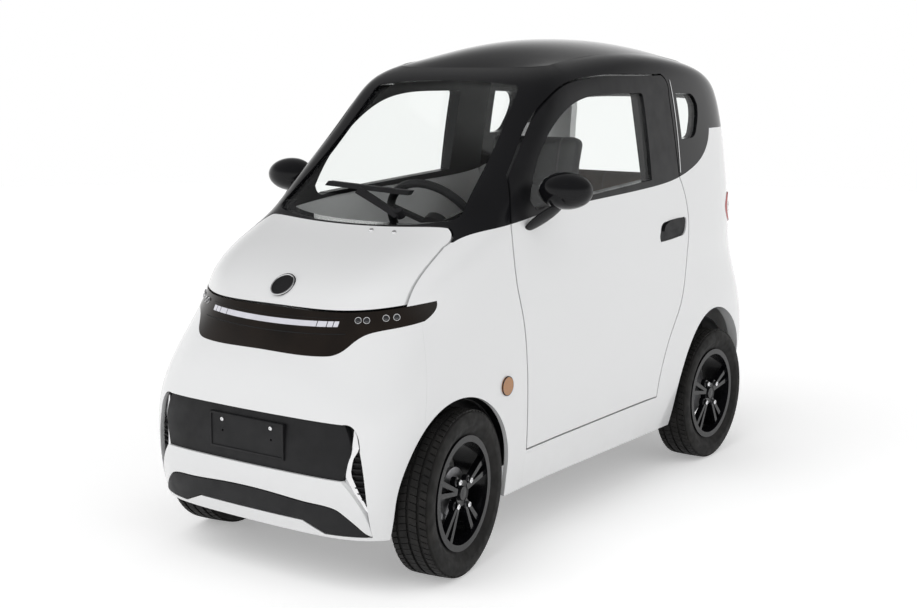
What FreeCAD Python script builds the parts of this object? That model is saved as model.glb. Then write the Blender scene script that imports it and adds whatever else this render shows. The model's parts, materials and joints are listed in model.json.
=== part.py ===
"""Two-door electric microcar: body panels, doors, lids, cabin, chassis and wheels, in millimetres.

Frame: front towards -Y, the car's left towards +X, +Z up, origin on the ground below the middle.
"""
import FreeCAD, Part
import Sketcher
import math
import os

from FreeCAD import Placement, Rotation, Vector

doc = FreeCAD.newDocument("microcar")
sheet = doc.addObject("Spreadsheet::Sheet", "Sizes")

SIZES = (
    # body hull
    ("wheelbase", 1641),
    ("body_height", 1527),
    ("nose_reach", 1203),
    ("tail_reach", 1237),
    ("half_width", 486),
    ("bulge_start", 300),
    ("bulge_run", 500),
    ("crown_centre", 450),
    ("crown_length", 750),
    ("roof_well_depth", 90),
    ("roof_rise", 52),
    ("roof_panel_wall", 12),
    # panels and gaps
    ("panel_wall", 14),
    ("hood_wall", 20),
    ("frame_wall", 38),
    ("glass_wall", 5),
    ("glass_inset", 7),
    ("trim_wall", 18),
    ("trim_depth", 8),
    ("fin_depth", 14),
    ("fin_wall", 4),
    ("fin_pitch", 17),
    ("lens_rise", 5),
    ("lens_wall", 18),
    ("door_inner_offset", 428),
    ("door_top_offset", 352),
    ("panel_gap", 6),
    ("seat_gap", 0.3),
    ("running_gap", 0.08),
    # wheels and steering
    ("tyre_radius", 247),
    ("tyre_width", 135),
    ("tyre_bead_radius", 157),
    ("tyre_sidewall", 42),
    ("tyre_shoulder", 24),
    ("rim_width", 112),
    ("rim_wall", 6),
    ("rim_lip", 8),
    ("rim_flange", 13),
    ("hub_radius", 38),
    ("hub_dish", 5),
    ("spoke_width", 17),
    ("spoke_root", 9),
    ("spoke_spread", 13),
    ("spoke_depth", 20),
    ("wheel_centre_offset", 441.5),
    ("rest_steer_angle", 8.4),
    ("arch_half_length", 266),
    ("front_arch_rise", 268),
    ("rear_arch_rise", 318),
    ("arch_centre_height", 262),
    ("kingpin_offset", 10),
    ("kingpin_radius", 13),
    ("kingpin_length", 220),
    ("arm_eye_height", 22),
    ("arm_eye_radius", 22),
    ("arm_width", 40),
    ("spindle_radius", 15),
    ("boss_radius", 30),
    ("boss_length", 33),
    ("disc_radius", 72),
    ("disc_wall", 10),
    ("disc_offset", 16),
    ("steering_arm_length", 90),
    # running gear
    ("rail_offset", 215),
    ("rail_width", 50),
    ("rail_height", 60),
    ("rail_bottom", 185),
    ("rail_overhang", 250),
    ("rail_kick", 150),
    ("floor_height", 250),
    ("floor_wall", 10),
    ("floor_half_width", 426),
    ("firewall_gap", 26),
    ("firewall_top", 760),
    ("deck_height", 470),
    ("deck_half_width", 358),
    ("deck_overhang", 40),
    ("step_gap", 40),
    ("liner_wall", 4),
    ("front_liner_inner", 295),
    ("front_liner_outer", 447),
    ("front_liner_room", 6),
    ("rear_liner_outer", 426),
    ("rear_liner_room", 20),
    ("tower_length", 60),
    ("tower_top", 560),
    ("spring_radius", 27),
    ("axle_radius", 32),
    ("motor_radius", 95),
    ("motor_length", 210),
    ("drum_radius", 100),
    ("drum_width", 45),
    ("battery_length", 700),
    ("battery_width", 360),
    ("battery_height", 108),
    # cabin
    ("dash_nose", 80),
    ("dash_height", 150),
    ("dash_depth", 150),
    ("dash_half_width", 335),
    ("dash_round", 28),
    ("binnacle_width", 230),
    ("binnacle_height", 45),
    ("steering_wheel_radius", 175),
    ("steering_rim_radius", 14),
    ("steering_hub_radius", 48),
    ("steering_shaft_radius", 12),
    ("steering_shaft_length", 80),
    ("steering_column_tilt", 32),
    ("steering_column_radius", 30),
    ("steering_column_length", 180),
    ("steering_column_gap", 26),
    ("steering_reach", 95),
    ("steering_height", 948),
    ("seat_along", 60),
    ("seat_width", 396),
    ("seat_depth", 430),
    ("seat_height", 480),
    ("seat_base_width", 316),
    ("seat_cushion_height", 130),
    ("seat_back_height", 540),
    ("seat_back_depth", 95),
    ("seat_back_lean", 115),
    ("seat_head_width", 190),
    ("seat_head_height", 120),
    ("seat_round", 32),
    ("bench_half_width", 352),
    ("bench_depth", 250),
    ("bench_back_height", 625),
    ("bench_back_depth", 95),
    ("bench_lean", 86),
    # outer fittings
    ("plate_width", 290),
    ("plate_height", 106),
    ("plate_wall", 8),
    ("plate_setback", 12),
    ("plate_recess", 14),
    ("plate_bolt_half_spacing", 95),
    ("plate_bolt_radius", 3.5),
    ("side_lamp_radius", 29),
    ("badge_radius", 40),
    ("badge_wall", 6),
    ("wiper_rise", 20),
    ("wiper_boss_radius", 14),
    ("fuse_depth", 1),
    ("outline_step", 25),
    ("mirror_half_width", 88),
    ("mirror_half_depth", 74),
    ("mirror_half_height", 57),
    ("mirror_back", 14),
    ("mirror_reach", 70),
    ("mirror_along", -372),
    ("mirror_foot_width", 60),
    ("mirror_foot_wall", 20),
    ("mirror_foot_length", 150),
    ("mirror_foot_inset", 55),
    ("mirror_foot_lead", 35),
    ("mirror_foot_drop", 80),
)
for row, (alias, value) in enumerate(SIZES, start=1):
    sheet.set("A%d" % row, alias)
    sheet.set("B%d" % row, str(value))
    sheet.setAlias("B%d" % row, alias)
doc.recompute()


class Size:
    """Reads a size from the sheet by its alias."""

    def __getattr__(self, alias):
        return float(sheet.get(alias))


size = Size()
MID_Y = (size.nose_reach - size.tail_reach) / 2
FRONT_AXLE_Y = MID_Y - size.wheelbase / 2
REAR_AXLE_Y = MID_Y + size.wheelbase / 2
QUARTER_STEPS = 9
ROOF_STEPS = 8
SPOKE_PAIRS = 5
FIN_COUNT = 10
NODES = []

# Hull rings: height, crown drop, nose, tail and half width as shares of their sizes, the squareness
# of the front in x and y and of the rear in x and y, and the bulges over the front and rear wheels.
RING_SHARES = (
    (0.111, 0.000, 0.983, 0.942, 0.926, 3.3, 18.0, 5.0, 11.0, 0.045, 0.000),
    (0.164, 0.000, 0.996, 0.977, 0.955, 3.4, 18.0, 5.0, 11.0, 0.033, 0.029),
    (0.236, 0.000, 1.000, 0.993, 0.984, 3.4, 18.0, 5.0, 11.0, 0.021, 0.049),
    (0.327, 0.000, 0.991, 1.000, 1.000, 3.3, 16.0, 5.0, 11.0, 0.010, 0.045),
    (0.419, 0.000, 0.958, 0.994, 1.000, 3.0, 9.8, 4.5, 10.0, 0.000, 0.021),
    (0.498, 0.000, 0.904, 0.981, 0.992, 2.9, 6.8, 4.2, 8.5, 0.000, 0.000),
    (0.557, 0.000, 0.849, 0.972, 0.984, 3.8, 5.8, 4.0, 8.5, 0.000, 0.000),
    (0.609, 0.000, 0.730, 0.965, 0.971, 5.2, 5.4, 4.0, 8.5, 0.000, 0.000),
    (0.655, 0.000, 0.594, 0.960, 0.959, 6.5, 5.2, 4.2, 9.0, 0.000, 0.000),
    (0.727, 0.010, 0.500, 0.950, 0.936, 7.5, 5.6, 4.5, 9.0, 0.000, 0.000),
    (0.802, 0.023, 0.403, 0.940, 0.905, 7.5, 6.0, 4.8, 9.5, 0.000, 0.000),
    (0.874, 0.036, 0.312, 0.928, 0.868, 7.0, 6.0, 5.0, 10.0, 0.000, 0.000),
    (0.933, 0.049, 0.243, 0.914, 0.829, 6.0, 6.0, 5.2, 10.0, 0.000, 0.000),
    (0.971, 0.056, 0.196, 0.891, 0.778, 5.0, 6.0, 5.2, 10.0, 0.000, 0.000),
    (0.990, 0.059, 0.146, 0.849, 0.700, 4.5, 6.0, 5.2, 10.0, 0.000, 0.000),
    (1.000, 0.060, 0.087, 0.788, 0.597, 4.5, 6.0, 5.2, 10.0, 0.000, 0.000),
)

# Side outlines as runs of places: along the wheelbase from its middle, and up, both as shares. A run of
# three or more places is smooth and a run of two is straight.
DOOR_SHARES = (
    ((-0.271, 0.196), (-0.286, 0.393), (-0.297, 0.476), (-0.312, 0.535), (-0.317, 0.600), (-0.309, 0.670),
     (-0.283, 0.749)),
    ((-0.283, 0.749), (-0.199, 0.837), (-0.143, 0.888), (-0.088, 0.920), (0.000, 0.938), (0.146, 0.946),
     (0.320, 0.947)),
    ((0.320, 0.947), (0.336, 0.935), (0.338, 0.900)),
    ((0.338, 0.900), (0.342, 0.786), (0.348, 0.710)),
    ((0.348, 0.710), (0.375, 0.650), (0.382, 0.605), (0.377, 0.559), (0.362, 0.490), (0.332, 0.412),
     (0.290, 0.350), (0.262, 0.290), (0.250, 0.240), (0.249, 0.202)),
)
BELT_SHARES = (
    ((-0.900, 0.600), (-0.445, 0.632)),
    ((-0.445, 0.632), (-0.405, 0.645), (-0.341, 0.654), (-0.247, 0.667), (0.000, 0.685), (0.216, 0.695),
     (0.348, 0.710), (0.404, 0.724), (0.459, 0.745), (0.505, 0.779), (0.527, 0.819)),
    ((0.527, 0.819), (0.900, 0.819)),
    ((0.900, 1.500), (-0.900, 1.500)),
)
WINDOW_SHARES = (
    ((-0.250, 0.701), (-0.221, 0.758), (-0.147, 0.838), (-0.064, 0.886), (0.020, 0.9035), (0.100, 0.907)),
    ((0.100, 0.907), (0.205, 0.907)),
    ((0.205, 0.907), (0.219, 0.9045), (0.222, 0.893)),
    ((0.222, 0.893), (0.222, 0.711)),
    ((0.222, 0.711), (0.001, 0.697), (-0.205, 0.683)),
    ((-0.205, 0.683), (-0.238, 0.684), (-0.250, 0.701)),
)
QUARTER_GLASS_SHARES = (
    ((0.374, 0.905), (0.430, 0.903)),
    ((0.430, 0.903), (0.462, 0.897), (0.4755, 0.876)),
    ((0.4755, 0.876), (0.471, 0.850), (0.458, 0.824)),
    ((0.458, 0.824), (0.445, 0.806), (0.425, 0.799)),
    ((0.425, 0.799), (0.377, 0.798)),
)
FENDER_SHARES = (
    ((-0.600, 0.090), (-0.600, 0.330)),
    ((-0.600, 0.330), (-0.560, 0.500)),
    ((-0.560, 0.500), (-0.740, 0.500)),
    ((-0.740, 0.800), (-0.200, 0.800)),
    ((-0.200, 0.190), (-0.275, 0.185)),
    ((-0.275, 0.185), (-0.275, 0.090)),
)
HANDLE_SHARES = (
    ((0.249, 0.5665), (0.300, 0.5685), (0.340, 0.572)),
    ((0.340, 0.572), (0.361, 0.578), (0.370, 0.595)),
    ((0.370, 0.595), (0.3705, 0.611), (0.357, 0.615)),
    ((0.357, 0.615), (0.310, 0.614), (0.276, 0.611)),
    ((0.276, 0.611), (0.256, 0.604), (0.249, 0.588)),
    ((0.249, 0.588), (0.246, 0.573), (0.249, 0.5665)),
)
GRIP_SHARES = (
    ((0.262, 0.590), (0.300, 0.591), (0.340, 0.593)),
    ((0.340, 0.593), (0.355, 0.597), (0.361, 0.604)),
    ((0.361, 0.604), (0.350, 0.610), (0.278, 0.607)),
    ((0.278, 0.607), (0.266, 0.600), (0.262, 0.590)),
)
# Front and rear outlines as runs of the left half, from the centre line round and back to it: across as
# shares of the half width, and up.
LAMP_TOP = ((0.000, 0.514), (0.471, 0.5145), (0.638, 0.518), (0.765, 0.524), (0.889, 0.533))
LAMP_SHARES = (
    LAMP_TOP,
    ((0.889, 0.533), (0.894, 0.516), (0.877, 0.499)),
    ((0.877, 0.499), (0.800, 0.4905), (0.724, 0.485), (0.655, 0.476), (0.619, 0.465), (0.585, 0.452),
     (0.540, 0.443), (0.470, 0.439), (0.000, 0.438)),
)
HOOD_FRONT_SHARES = (
    ((0.000, 1.200), (1.100, 1.200)),
    ((1.100, 1.200), (1.100, 0.545)),
    ((1.100, 0.545), (0.889, 0.533)),
    LAMP_TOP[::-1],
)
GRILLE_SHARES = (
    ((0.000, 0.3275), (0.350, 0.3275), (0.690, 0.3265)),
    ((0.690, 0.3265), (0.755, 0.322), (0.787, 0.307), (0.803, 0.280)),
    ((0.803, 0.280), (0.823, 0.240), (0.833, 0.180), (0.837, 0.118)),
    ((0.837, 0.118), (0.562, 0.1165)),
    ((0.562, 0.1165), (0.412, 0.136)),
    ((0.412, 0.136), (0.000, 0.136)),
)
PANEL_SHARES = (
    ((0.000, 0.3275), (0.350, 0.3275), (0.690, 0.3265)),
    ((0.690, 0.3265), (0.735, 0.294), (0.737, 0.268)),
    ((0.737, 0.268), (0.715, 0.247), (0.698, 0.2235)),
    ((0.698, 0.2235), (0.710, 0.150)),
    ((0.710, 0.150), (0.000, 0.150)),
)
BLADE_SHARES = (
    ((0.000, 0.2245), (0.350, 0.2245), (0.698, 0.2235)),
    ((0.698, 0.2235), (0.774, 0.192), (0.820, 0.157), (0.835, 0.120)),
    ((0.835, 0.120), (0.812, 0.1245), (0.780, 0.136), (0.745, 0.148), (0.710, 0.158), (0.665, 0.168),
     (0.628, 0.1715), (0.488, 0.1745), (0.250, 0.179), (0.000, 0.1815)),
)
LIP_SHARES = (
    ((0.000, 0.179), (0.250, 0.1765), (0.488, 0.172), (0.628, 0.169), (0.665, 0.1655), (0.710, 0.1555),
     (0.745, 0.1455), (0.780, 0.1335), (0.812, 0.121)),
    ((0.812, 0.121), (0.812, 0.1185)),
    ((0.812, 0.1185), (0.562, 0.1185)),
    ((0.562, 0.1185), (0.412, 0.138)),
    ((0.412, 0.138), (0.000, 0.138)),
)
SCREEN_SHARES = (
    ((0.000, 0.934), (0.300, 0.932), (0.530, 0.926)),
    ((0.530, 0.926), (0.585, 0.921), (0.603, 0.905)),
    ((0.603, 0.905), (0.622, 0.872), (0.664, 0.792), (0.722, 0.694)),
    ((0.722, 0.694), (0.728, 0.676), (0.700, 0.668)),
    ((0.700, 0.668), (0.387, 0.656), (0.000, 0.6525)),
)
REAR_WINDOW_SHARES = (
    ((0.000, 0.890), (0.350, 0.889), (0.550, 0.884)),
    ((0.550, 0.884), (0.604, 0.878), (0.620, 0.858)),
    ((0.620, 0.858), (0.655, 0.775), (0.668, 0.705)),
    ((0.668, 0.705), (0.665, 0.680), (0.630, 0.668)),
    ((0.630, 0.668), (0.350, 0.662), (0.000, 0.660)),
)
TAILGATE_SHARES = (
    ((0.000, 0.925), (0.400, 0.925), (0.600, 0.923)),
    ((0.600, 0.923), (0.700, 0.914), (0.745, 0.890)),
    ((0.745, 0.890), (0.782, 0.780), (0.796, 0.640), (0.800, 0.460)),
    ((0.800, 0.460), (0.793, 0.428), (0.760, 0.420)),
    ((0.760, 0.420), (0.000, 0.420)),
)
TAIL_LAMP_SHARES = (
    ((0.838, 0.585), (0.869, 0.578), (0.901, 0.589)),
    ((0.901, 0.589), (0.915, 0.616), (0.901, 0.643)),
    ((0.901, 0.643), (0.869, 0.654), (0.838, 0.647)),
    ((0.838, 0.647), (0.826, 0.616), (0.838, 0.585)),
)
WIPER_ARM_SHARES = (((0.330, 0.6685), (0.330, 0.6755)), ((0.330, 0.6755), (-0.132, 0.7175)),
                    ((-0.132, 0.7175), (-0.128, 0.7065)), ((-0.128, 0.7065), (0.330, 0.6685)))
WIPER_BLADE_SHARES = (((0.270, 0.7075), (0.270, 0.7160)), ((0.270, 0.7160), (-0.440, 0.7245)),
                      ((-0.440, 0.7245), (-0.440, 0.7160)), ((-0.440, 0.7160), (0.270, 0.7075)))
# The hood seen from above, as runs of its left half: across and along the wheelbase.
HOOD_SHARES = (
    ((0.000, -0.446), (0.400, -0.440), (0.650, -0.428), (0.715, -0.4235)),
    ((0.715, -0.4235), (0.763, -0.432), (0.780, -0.464)),
    ((0.780, -0.464), (0.788, -0.500), (0.790, -0.560), (0.790, -0.640)),
    ((0.790, -0.640), (0.790, -0.760)),
    ((0.790, -0.760), (0.000, -0.760)),
)
DOOR_LEVEL_SHARES = (0.66, 0.95)
REAR_BUMPER_SHARE = 0.36
PLATE_LEVEL_SHARE = 0.27832
MIRROR_LEVEL_SHARE = 0.721
NOSE_TOP_SHARE = 0.625
BADGE_LEVEL_SHARE = 0.5515
SIDE_LAMP_SHARES = (-0.3559, 0.3438)
PIVOT_SHARES = (0.318, 0.672)
ROOF_OVERLAP_SHARE = 0.3


def smooth(value):
    """Rises smoothly from 0 to 1."""
    value = min(max(value, 0), 1)
    return value * value * (3 - 2 * value)


def quarter_ring(half, reach, square_x, square_y):
    """Points of one quarter of a plan ring, from its end to its side, closer where it turns."""
    dense = 400
    points = []
    for i in range(dense + 1):
        angle = math.pi / 2 * i / dense
        across = half * max(math.sin(angle), 0) ** (2 / square_x)
        along = reach * max(math.cos(angle), 0) ** (2 / square_y)
        points.append((across, along))
    length = [0]
    turn = [0]
    for i in range(1, dense + 1):
        step_x = points[i][0] - points[i - 1][0]
        step_y = points[i][1] - points[i - 1][1]
        length.append(length[-1] + math.hypot(step_x, step_y))
        turn.append(math.atan2(-step_y, step_x) / (math.pi / 2))
    weight = [(length[i] / length[-1] + turn[i]) / 2 for i in range(dense + 1)]
    picked = []
    low = 0
    for step in range(QUARTER_STEPS + 1):
        goal = weight[-1] * step / QUARTER_STEPS
        while low < dense - 1 and weight[low + 1] < goal:
            low += 1
        span = max(weight[low + 1] - weight[low], 1e-9)
        share = min(max((goal - weight[low]) / span, 0), 1)
        first, second = points[low], points[low + 1]
        picked.append((first[0] + share * (second[0] - first[0]), first[1] + share * (second[1] - first[1])))
    return picked


def hull_ring(shares):
    """One closed ring of the hull, from the middle of the tail round the car's left and back."""
    height, drop, nose, tail, width, nose_x, nose_y, tail_x, tail_y, front_bulge, rear_bulge = shares
    front = quarter_ring(width * size.half_width, nose * size.nose_reach, nose_x, nose_y)
    rear = quarter_ring(width * size.half_width, tail * size.tail_reach, tail_x, tail_y)
    left = []
    for across, along in rear:
        swell = 1 + rear_bulge / width * smooth((along - size.bulge_start) / size.bulge_run)
        left.append((across * swell, along))
    for across, along in reversed(front[:-1]):
        swell = 1 + front_bulge / width * smooth((along - size.bulge_start) / size.bulge_run)
        left.append((across * swell, -along))
    points = []
    for across, along in left:
        crown = ((along - size.crown_centre) / size.crown_length) ** 2
        level = height * size.body_height - drop * size.body_height * crown
        points.append(Vector(across, along + MID_Y, level))
    mirrored = [Vector(-p.x, p.y, p.z) for p in reversed(points[:-1])]
    return points + mirrored


HULL = [hull_ring(shares) for shares in RING_SHARES]
COLUMNS = len(HULL[0])
ROWS = len(HULL)


def hull_normal(row, column):
    """Outward direction at one place of the hull."""
    before = HULL[row][column - 1] if column > 0 else HULL[row][COLUMNS - 2]
    after = HULL[row][column + 1] if column < COLUMNS - 1 else HULL[row][1]
    below = HULL[max(row - 1, 0)][column]
    above = HULL[min(row + 1, ROWS - 1)][column]
    normal = (above - below).cross(after - before)
    return normal.normalize()


NORMALS = [[hull_normal(row, column) for column in range(COLUMNS)] for row in range(ROWS)]


def clamped_knots(count):
    """Even knots and their counts for a cubic net of so many poles."""
    spans = count - 2
    return list(range(spans)), [4] + [1] * (spans - 2) + [4]


def eased(net, row_at, column_at):
    """The surface's own place at one pole of a cubic net."""
    centre = net[column_at][row_at]
    if 0 < column_at < COLUMNS - 1:
        centre = (net[column_at - 1][row_at] + centre * 4 + net[column_at + 1][row_at]) * (1 / 6)
    return centre


def hull_surface(depth):
    """The hull's surface at a depth below its outer face, as one cubic spline surface."""
    goal = [[HULL[r][c] - NORMALS[r][c] * depth for r in range(ROWS)] for c in range(COLUMNS)]
    net = [[Vector(point) for point in column] for column in goal]
    for _ in range(2):
        across = [[eased(net, r, c) for r in range(ROWS)] for c in range(COLUMNS)]
        moved = []
        for c in range(COLUMNS):
            column = []
            for r in range(ROWS):
                place = across[c][r]
                if 0 < r < ROWS - 1:
                    place = (across[c][r - 1] + place * 4 + across[c][r + 1]) * (1 / 6)
                column.append(net[c][r] + (goal[c][r] - place))
            moved.append(column)
        net = moved
    column_knots, column_counts = clamped_knots(COLUMNS)
    row_knots, row_counts = clamped_knots(ROWS)
    surface = Part.BSplineSurface()
    surface.buildFromPolesMultsKnots(net, column_counts, row_counts, column_knots, row_knots, False, False, 3, 3)
    return surface


def closed_solid(faces):
    """Sews faces into one solid that is the right way out."""
    shell = Part.makeShell(faces)
    shell.sewShape()
    if shell.ShapeType != "Shell":
        shell = shell.Shells[0]
    solid = Part.makeSolid(shell)
    if solid.Volume < 0:
        solid.reverse()
    return solid


def skin(outer_depth, inner_depth):
    """The hull's wall between two depths, open below and at the roof well."""
    outer = hull_surface(outer_depth)
    inner = hull_surface(inner_depth)
    faces = [outer.toShape(), inner.toShape()]
    low, high = outer.bounds()[2:]
    for level in (low, high):
        faces.append(Part.makeRuledSurface(outer.vIso(level).toShape(), inner.vIso(level).toShape()))
    return closed_solid(faces)


def full_hull():
    """The whole hull as one closed block, with a shallow well where the roof panel lies."""
    outer = hull_surface(0)
    low, high = outer.bounds()[2:]
    bottom = outer.vIso(low).toShape()
    rim = outer.vIso(high).toShape()
    well_points = [Vector(p.x, p.y, size.body_height - size.roof_well_depth * 2) for p in HULL[-1]]
    well_curve = Part.BSplineCurve()
    column_knots, column_counts = clamped_knots(COLUMNS)
    well_curve.buildFromPolesMultsKnots(well_points, column_counts, column_knots, False, 3)
    well = well_curve.toShape()
    faces = [outer.toShape(), Part.Face(Part.Wire([bottom])), Part.makeRuledSurface(rim, well)]
    faces.append(Part.Face(Part.Wire([well])))
    return closed_solid(faces)

def side_places(runs, across=0):
    """Points in the side view from runs of shares of the wheelbase and the height."""
    return [[Vector(across, MID_Y + along * size.wheelbase, up * size.body_height) for along, up in run]
            for run in runs]


def flipped(run):
    """A run on the car's other side, so that it carries on round the outline."""
    return [Vector(-point.x, point.y, point.z) for point in reversed(run)]


def both_sides(half_runs):
    """Runs of the whole outline from the left half's, which start and end on the centre line."""
    first, last = half_runs[0], half_runs[-1]
    middle = list(half_runs[1:-1])
    return [flipped(first)[:-1] + first] + middle + [last + flipped(last)[1:]] + [flipped(r) for r in middle[::-1]]


def front_places(runs):
    """Points in the front view from runs of shares of the half width and the height, on both sides."""
    return both_sides([[Vector(across * size.half_width, 0, up * size.body_height) for across, up in run]
                       for run in runs])


def run_wire(runs):
    """A closed outline: smooth along runs of three or more points, straight along two and between runs."""
    edges = []
    for index, run in enumerate(runs):
        after = runs[(index + 1) % len(runs)][0]
        if len(run) == 2:
            edges.append(Part.LineSegment(run[0], run[1]).toShape())
        else:
            curve = Part.BSplineCurve()
            curve.interpolate(run)
            edges.append(curve.toShape())
        if (run[-1] - after).Length > size.seat_gap:
            edges.append(Part.LineSegment(run[-1], after).toShape())
    return Part.Wire(edges)


def straight_wire(points):
    """A closed outline of straight edges."""
    return Part.makePolygon(list(points) + [points[0]])


def grown(wire, distance):
    """The flat face in an outline, made larger or smaller all round, its edges drawn afresh."""
    if distance == 0:
        return Part.Face(wire)
    edges = []
    for edge in Part.Face(wire).makeOffset2D(distance, 0, False, False, False).Wires[0].OrderedEdges:
        start, end = edge.firstVertex(True).Point, edge.lastVertex(True).Point
        if edge.Curve.TypeId == "Part::GeomLine":
            edges.append(Part.LineSegment(start, end).toShape())
            continue
        steps = EDGE_STEPS + int(edge.Length / size.outline_step)
        inner = edge.discretize(steps if edge.Length > size.outline_step else EDGE_STEPS // 4)[1:-1]
        if (inner[0] - start).Length > (inner[-1] - start).Length:
            inner.reverse()
        curve = Part.BSplineCurve()
        curve.interpolate([start] + inner + [end])
        edges.append(curve.toShape())
    return Part.Face(Part.Wire(edges))


def side_prism(shares, distance=0):
    """A block that runs sideways to the left from a side outline."""
    return grown(run_wire(side_places(shares)), distance).extrude(Vector(size.half_width * 2, 0, 0))


def front_prism(shares, distance=0, rear=False):
    """A block on both sides of the centre that runs forwards or rearwards from a front outline."""
    reach = size.tail_reach * 2 if rear else -size.nose_reach * 2
    return grown(run_wire(front_places(shares)), distance).extrude(Vector(0, reach, 0))


def one_side_prism(shares, distance=0, rear=False):
    """A block that runs forwards or rearwards from an outline off the centre."""
    points = [[Vector(across * size.half_width, 0, up * size.body_height) for across, up in run] for run in shares]
    reach = size.tail_reach * 2 if rear else -size.nose_reach * 2
    return grown(run_wire(points), distance).extrude(Vector(0, reach, 0))


def hood_prism(distance):
    """A block that runs up from the hood's outline in the plan view."""
    runs = [[Vector(x * size.half_width, MID_Y + y * size.wheelbase, size.door_inner_offset) for x, y in run]
            for run in HOOD_SHARES]
    return grown(run_wire(both_sides(runs)), distance).extrude(Vector(0, 0, size.body_height))


def mirrored(shape):
    """The same shape on the car's other side."""
    return shape.mirror(Vector(0, 0, 0), Vector(1, 0, 0))


def wide_box(start_y, end_y, low, high):
    """A box across the whole car between two places along it and two heights."""
    return Part.makeBox(size.half_width * 4, end_y - start_y, high - low, Vector(-size.half_width * 2, start_y, low))


def main_solid(shape):
    """The largest solid of a cut shape."""
    return max(shape.Solids, key=lambda solid: solid.Volume)


def add(label, shape):
    """Puts a shape in the document as a node."""
    solids = shape.Solids
    item = doc.addObject("Part::Feature", label)
    item.Shape = solids[0] if len(solids) == 1 else Part.makeCompound(solids)
    item.Label = label
    NODES.append(item)
    return item


def add_pair(name, left_shape):
    """Puts a left piece and its mirror image in the document and gives the left one."""
    add(name + "_right", mirrored(left_shape))
    return add(name + "_left", left_shape)


def arch_block(axle_y, rise):
    """The elliptical opening of a left wheel arch, open below."""
    inner = size.half_width / 2
    points = []
    for step in range(ARCH_STEPS):
        angle = 2 * math.pi * step / ARCH_STEPS
        y = axle_y + size.arch_half_length * math.cos(angle)
        points.append(Vector(inner, y, size.arch_centre_height + rise * math.sin(angle)))
    curve = Part.BSplineCurve()
    curve.interpolate(Points=points, PeriodicFlag=True)
    block = Part.Face(Part.Wire([curve.toShape()])).extrude(Vector(size.half_width * 2 - inner, 0, 0))
    below = Part.makeBox(size.half_width * 2 - inner, size.arch_half_length * 2, size.arch_centre_height,
                         Vector(inner, axle_y - size.arch_half_length, 0))
    return block.fuse(below)


def hull_place(across, level):
    """The place and outward direction on the front of the hull at a distance across and a height."""
    face = hull_surface(0).toShape()
    line = Part.makeLine(Vector(across, 0, level), Vector(across, -size.nose_reach * 2, level))
    place = face.section(line).Vertexes[0].Point
    normal = face.normalAt(*face.Surface.parameter(place))
    return place, normal if normal.y < 0 else normal * -1


ARCH_STEPS = 24
EDGE_STEPS = 20

# Blocks that divide the hull
hull = full_hull()
panel_skin = skin(0, size.panel_wall)
hood_skin = skin(0, size.hood_wall)
frame_skin = skin(0, size.frame_wall)
glass_skin = skin(size.glass_inset, size.glass_inset + size.glass_wall)
left_half = Part.makeBox(size.half_width * 2, size.tail_reach * 4, size.body_height * 2,
                         Vector(0, -size.tail_reach * 2, 0))
above_belt = side_prism(BELT_SHARES)
door_hole = side_prism(DOOR_SHARES, size.panel_gap)
door_block = side_prism(DOOR_SHARES)
window_hole = side_prism(WINDOW_SHARES)
front_arch = arch_block(FRONT_AXLE_Y, size.front_arch_rise)
rear_arch = arch_block(REAR_AXLE_Y, size.rear_arch_rise)
fender_hole = side_prism(FENDER_SHARES, size.seat_gap)
lamp_hole = front_prism(LAMP_SHARES, size.seat_gap)
grille_hole = front_prism(GRILLE_SHARES, size.seat_gap)
above_lamp = front_prism(HOOD_FRONT_SHARES)
hood_block = hood_prism(0).common(front_prism(HOOD_FRONT_SHARES, -size.panel_gap))
hood_hole = hood_prism(size.panel_gap).common(above_lamp)
tailgate_hole = front_prism(TAILGATE_SHARES, size.panel_gap, True)
tail_corner = wide_box(REAR_AXLE_Y + size.arch_half_length / 2, size.tail_reach * 2, 0, size.body_height)
tail_lamp_hole = skin(-size.lens_rise * 2, size.lens_wall + size.seat_gap).common(
    one_side_prism(TAIL_LAMP_SHARES, size.seat_gap, True)).common(tail_corner)
print("blocks made")


def door_pieces():
    """The left door's white lower panel, its black frame and its glass."""
    inner = size.door_inner_offset
    reach = size.tail_reach
    lower_space = Part.makeBox(size.half_width, reach * 2, size.body_height, Vector(inner, -reach, 0))
    whole = hull.common(door_block)
    lower = whole.cut(above_belt).common(lower_space)
    wedge = Part.Face(straight_wire([
        Vector(inner, -reach, 0), Vector(inner, -reach, DOOR_LEVEL_SHARES[0] * size.body_height),
        Vector(size.door_top_offset, -reach, DOOR_LEVEL_SHARES[1] * size.body_height),
        Vector(size.door_top_offset, -reach, size.body_height * 2),
        Vector(size.half_width * 2, -reach, size.body_height * 2), Vector(size.half_width * 2, -reach, 0),
    ])).extrude(Vector(0, reach * 2, 0))
    frame = whole.common(above_belt).common(wedge).cut(window_hole)
    glass = glass_skin.common(side_prism(WINDOW_SHARES, -size.seat_gap))
    return lower, frame, glass


door_lower, door_frame, door_glass = door_pieces()
cup_depth = size.trim_depth + size.lens_rise
handle_pocket = skin(-size.lens_rise, cup_depth).common(side_prism(HANDLE_SHARES, size.seat_gap))
handle_cup = skin(size.lens_rise, cup_depth - size.seat_gap).common(side_prism(HANDLE_SHARES))
handle_grip = skin(-size.lens_rise, size.lens_rise + size.fuse_depth).common(side_prism(HANDLE_SHARES))
handle_grip = handle_grip.common(side_prism(GRIP_SHARES))
door_lower = main_solid(door_lower.cut(handle_pocket))
door_items = [add_pair("door", door_lower), add_pair("door_frame", door_frame)]
add_pair("door_glass", door_glass)
add_pair("door_handle", main_solid(handle_cup.fuse(handle_grip)))
print("doors made")

# The front clip
lamp_y = MID_Y + SIDE_LAMP_SHARES[0] * size.wheelbase
lamp_z = SIDE_LAMP_SHARES[1] * size.body_height


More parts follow.
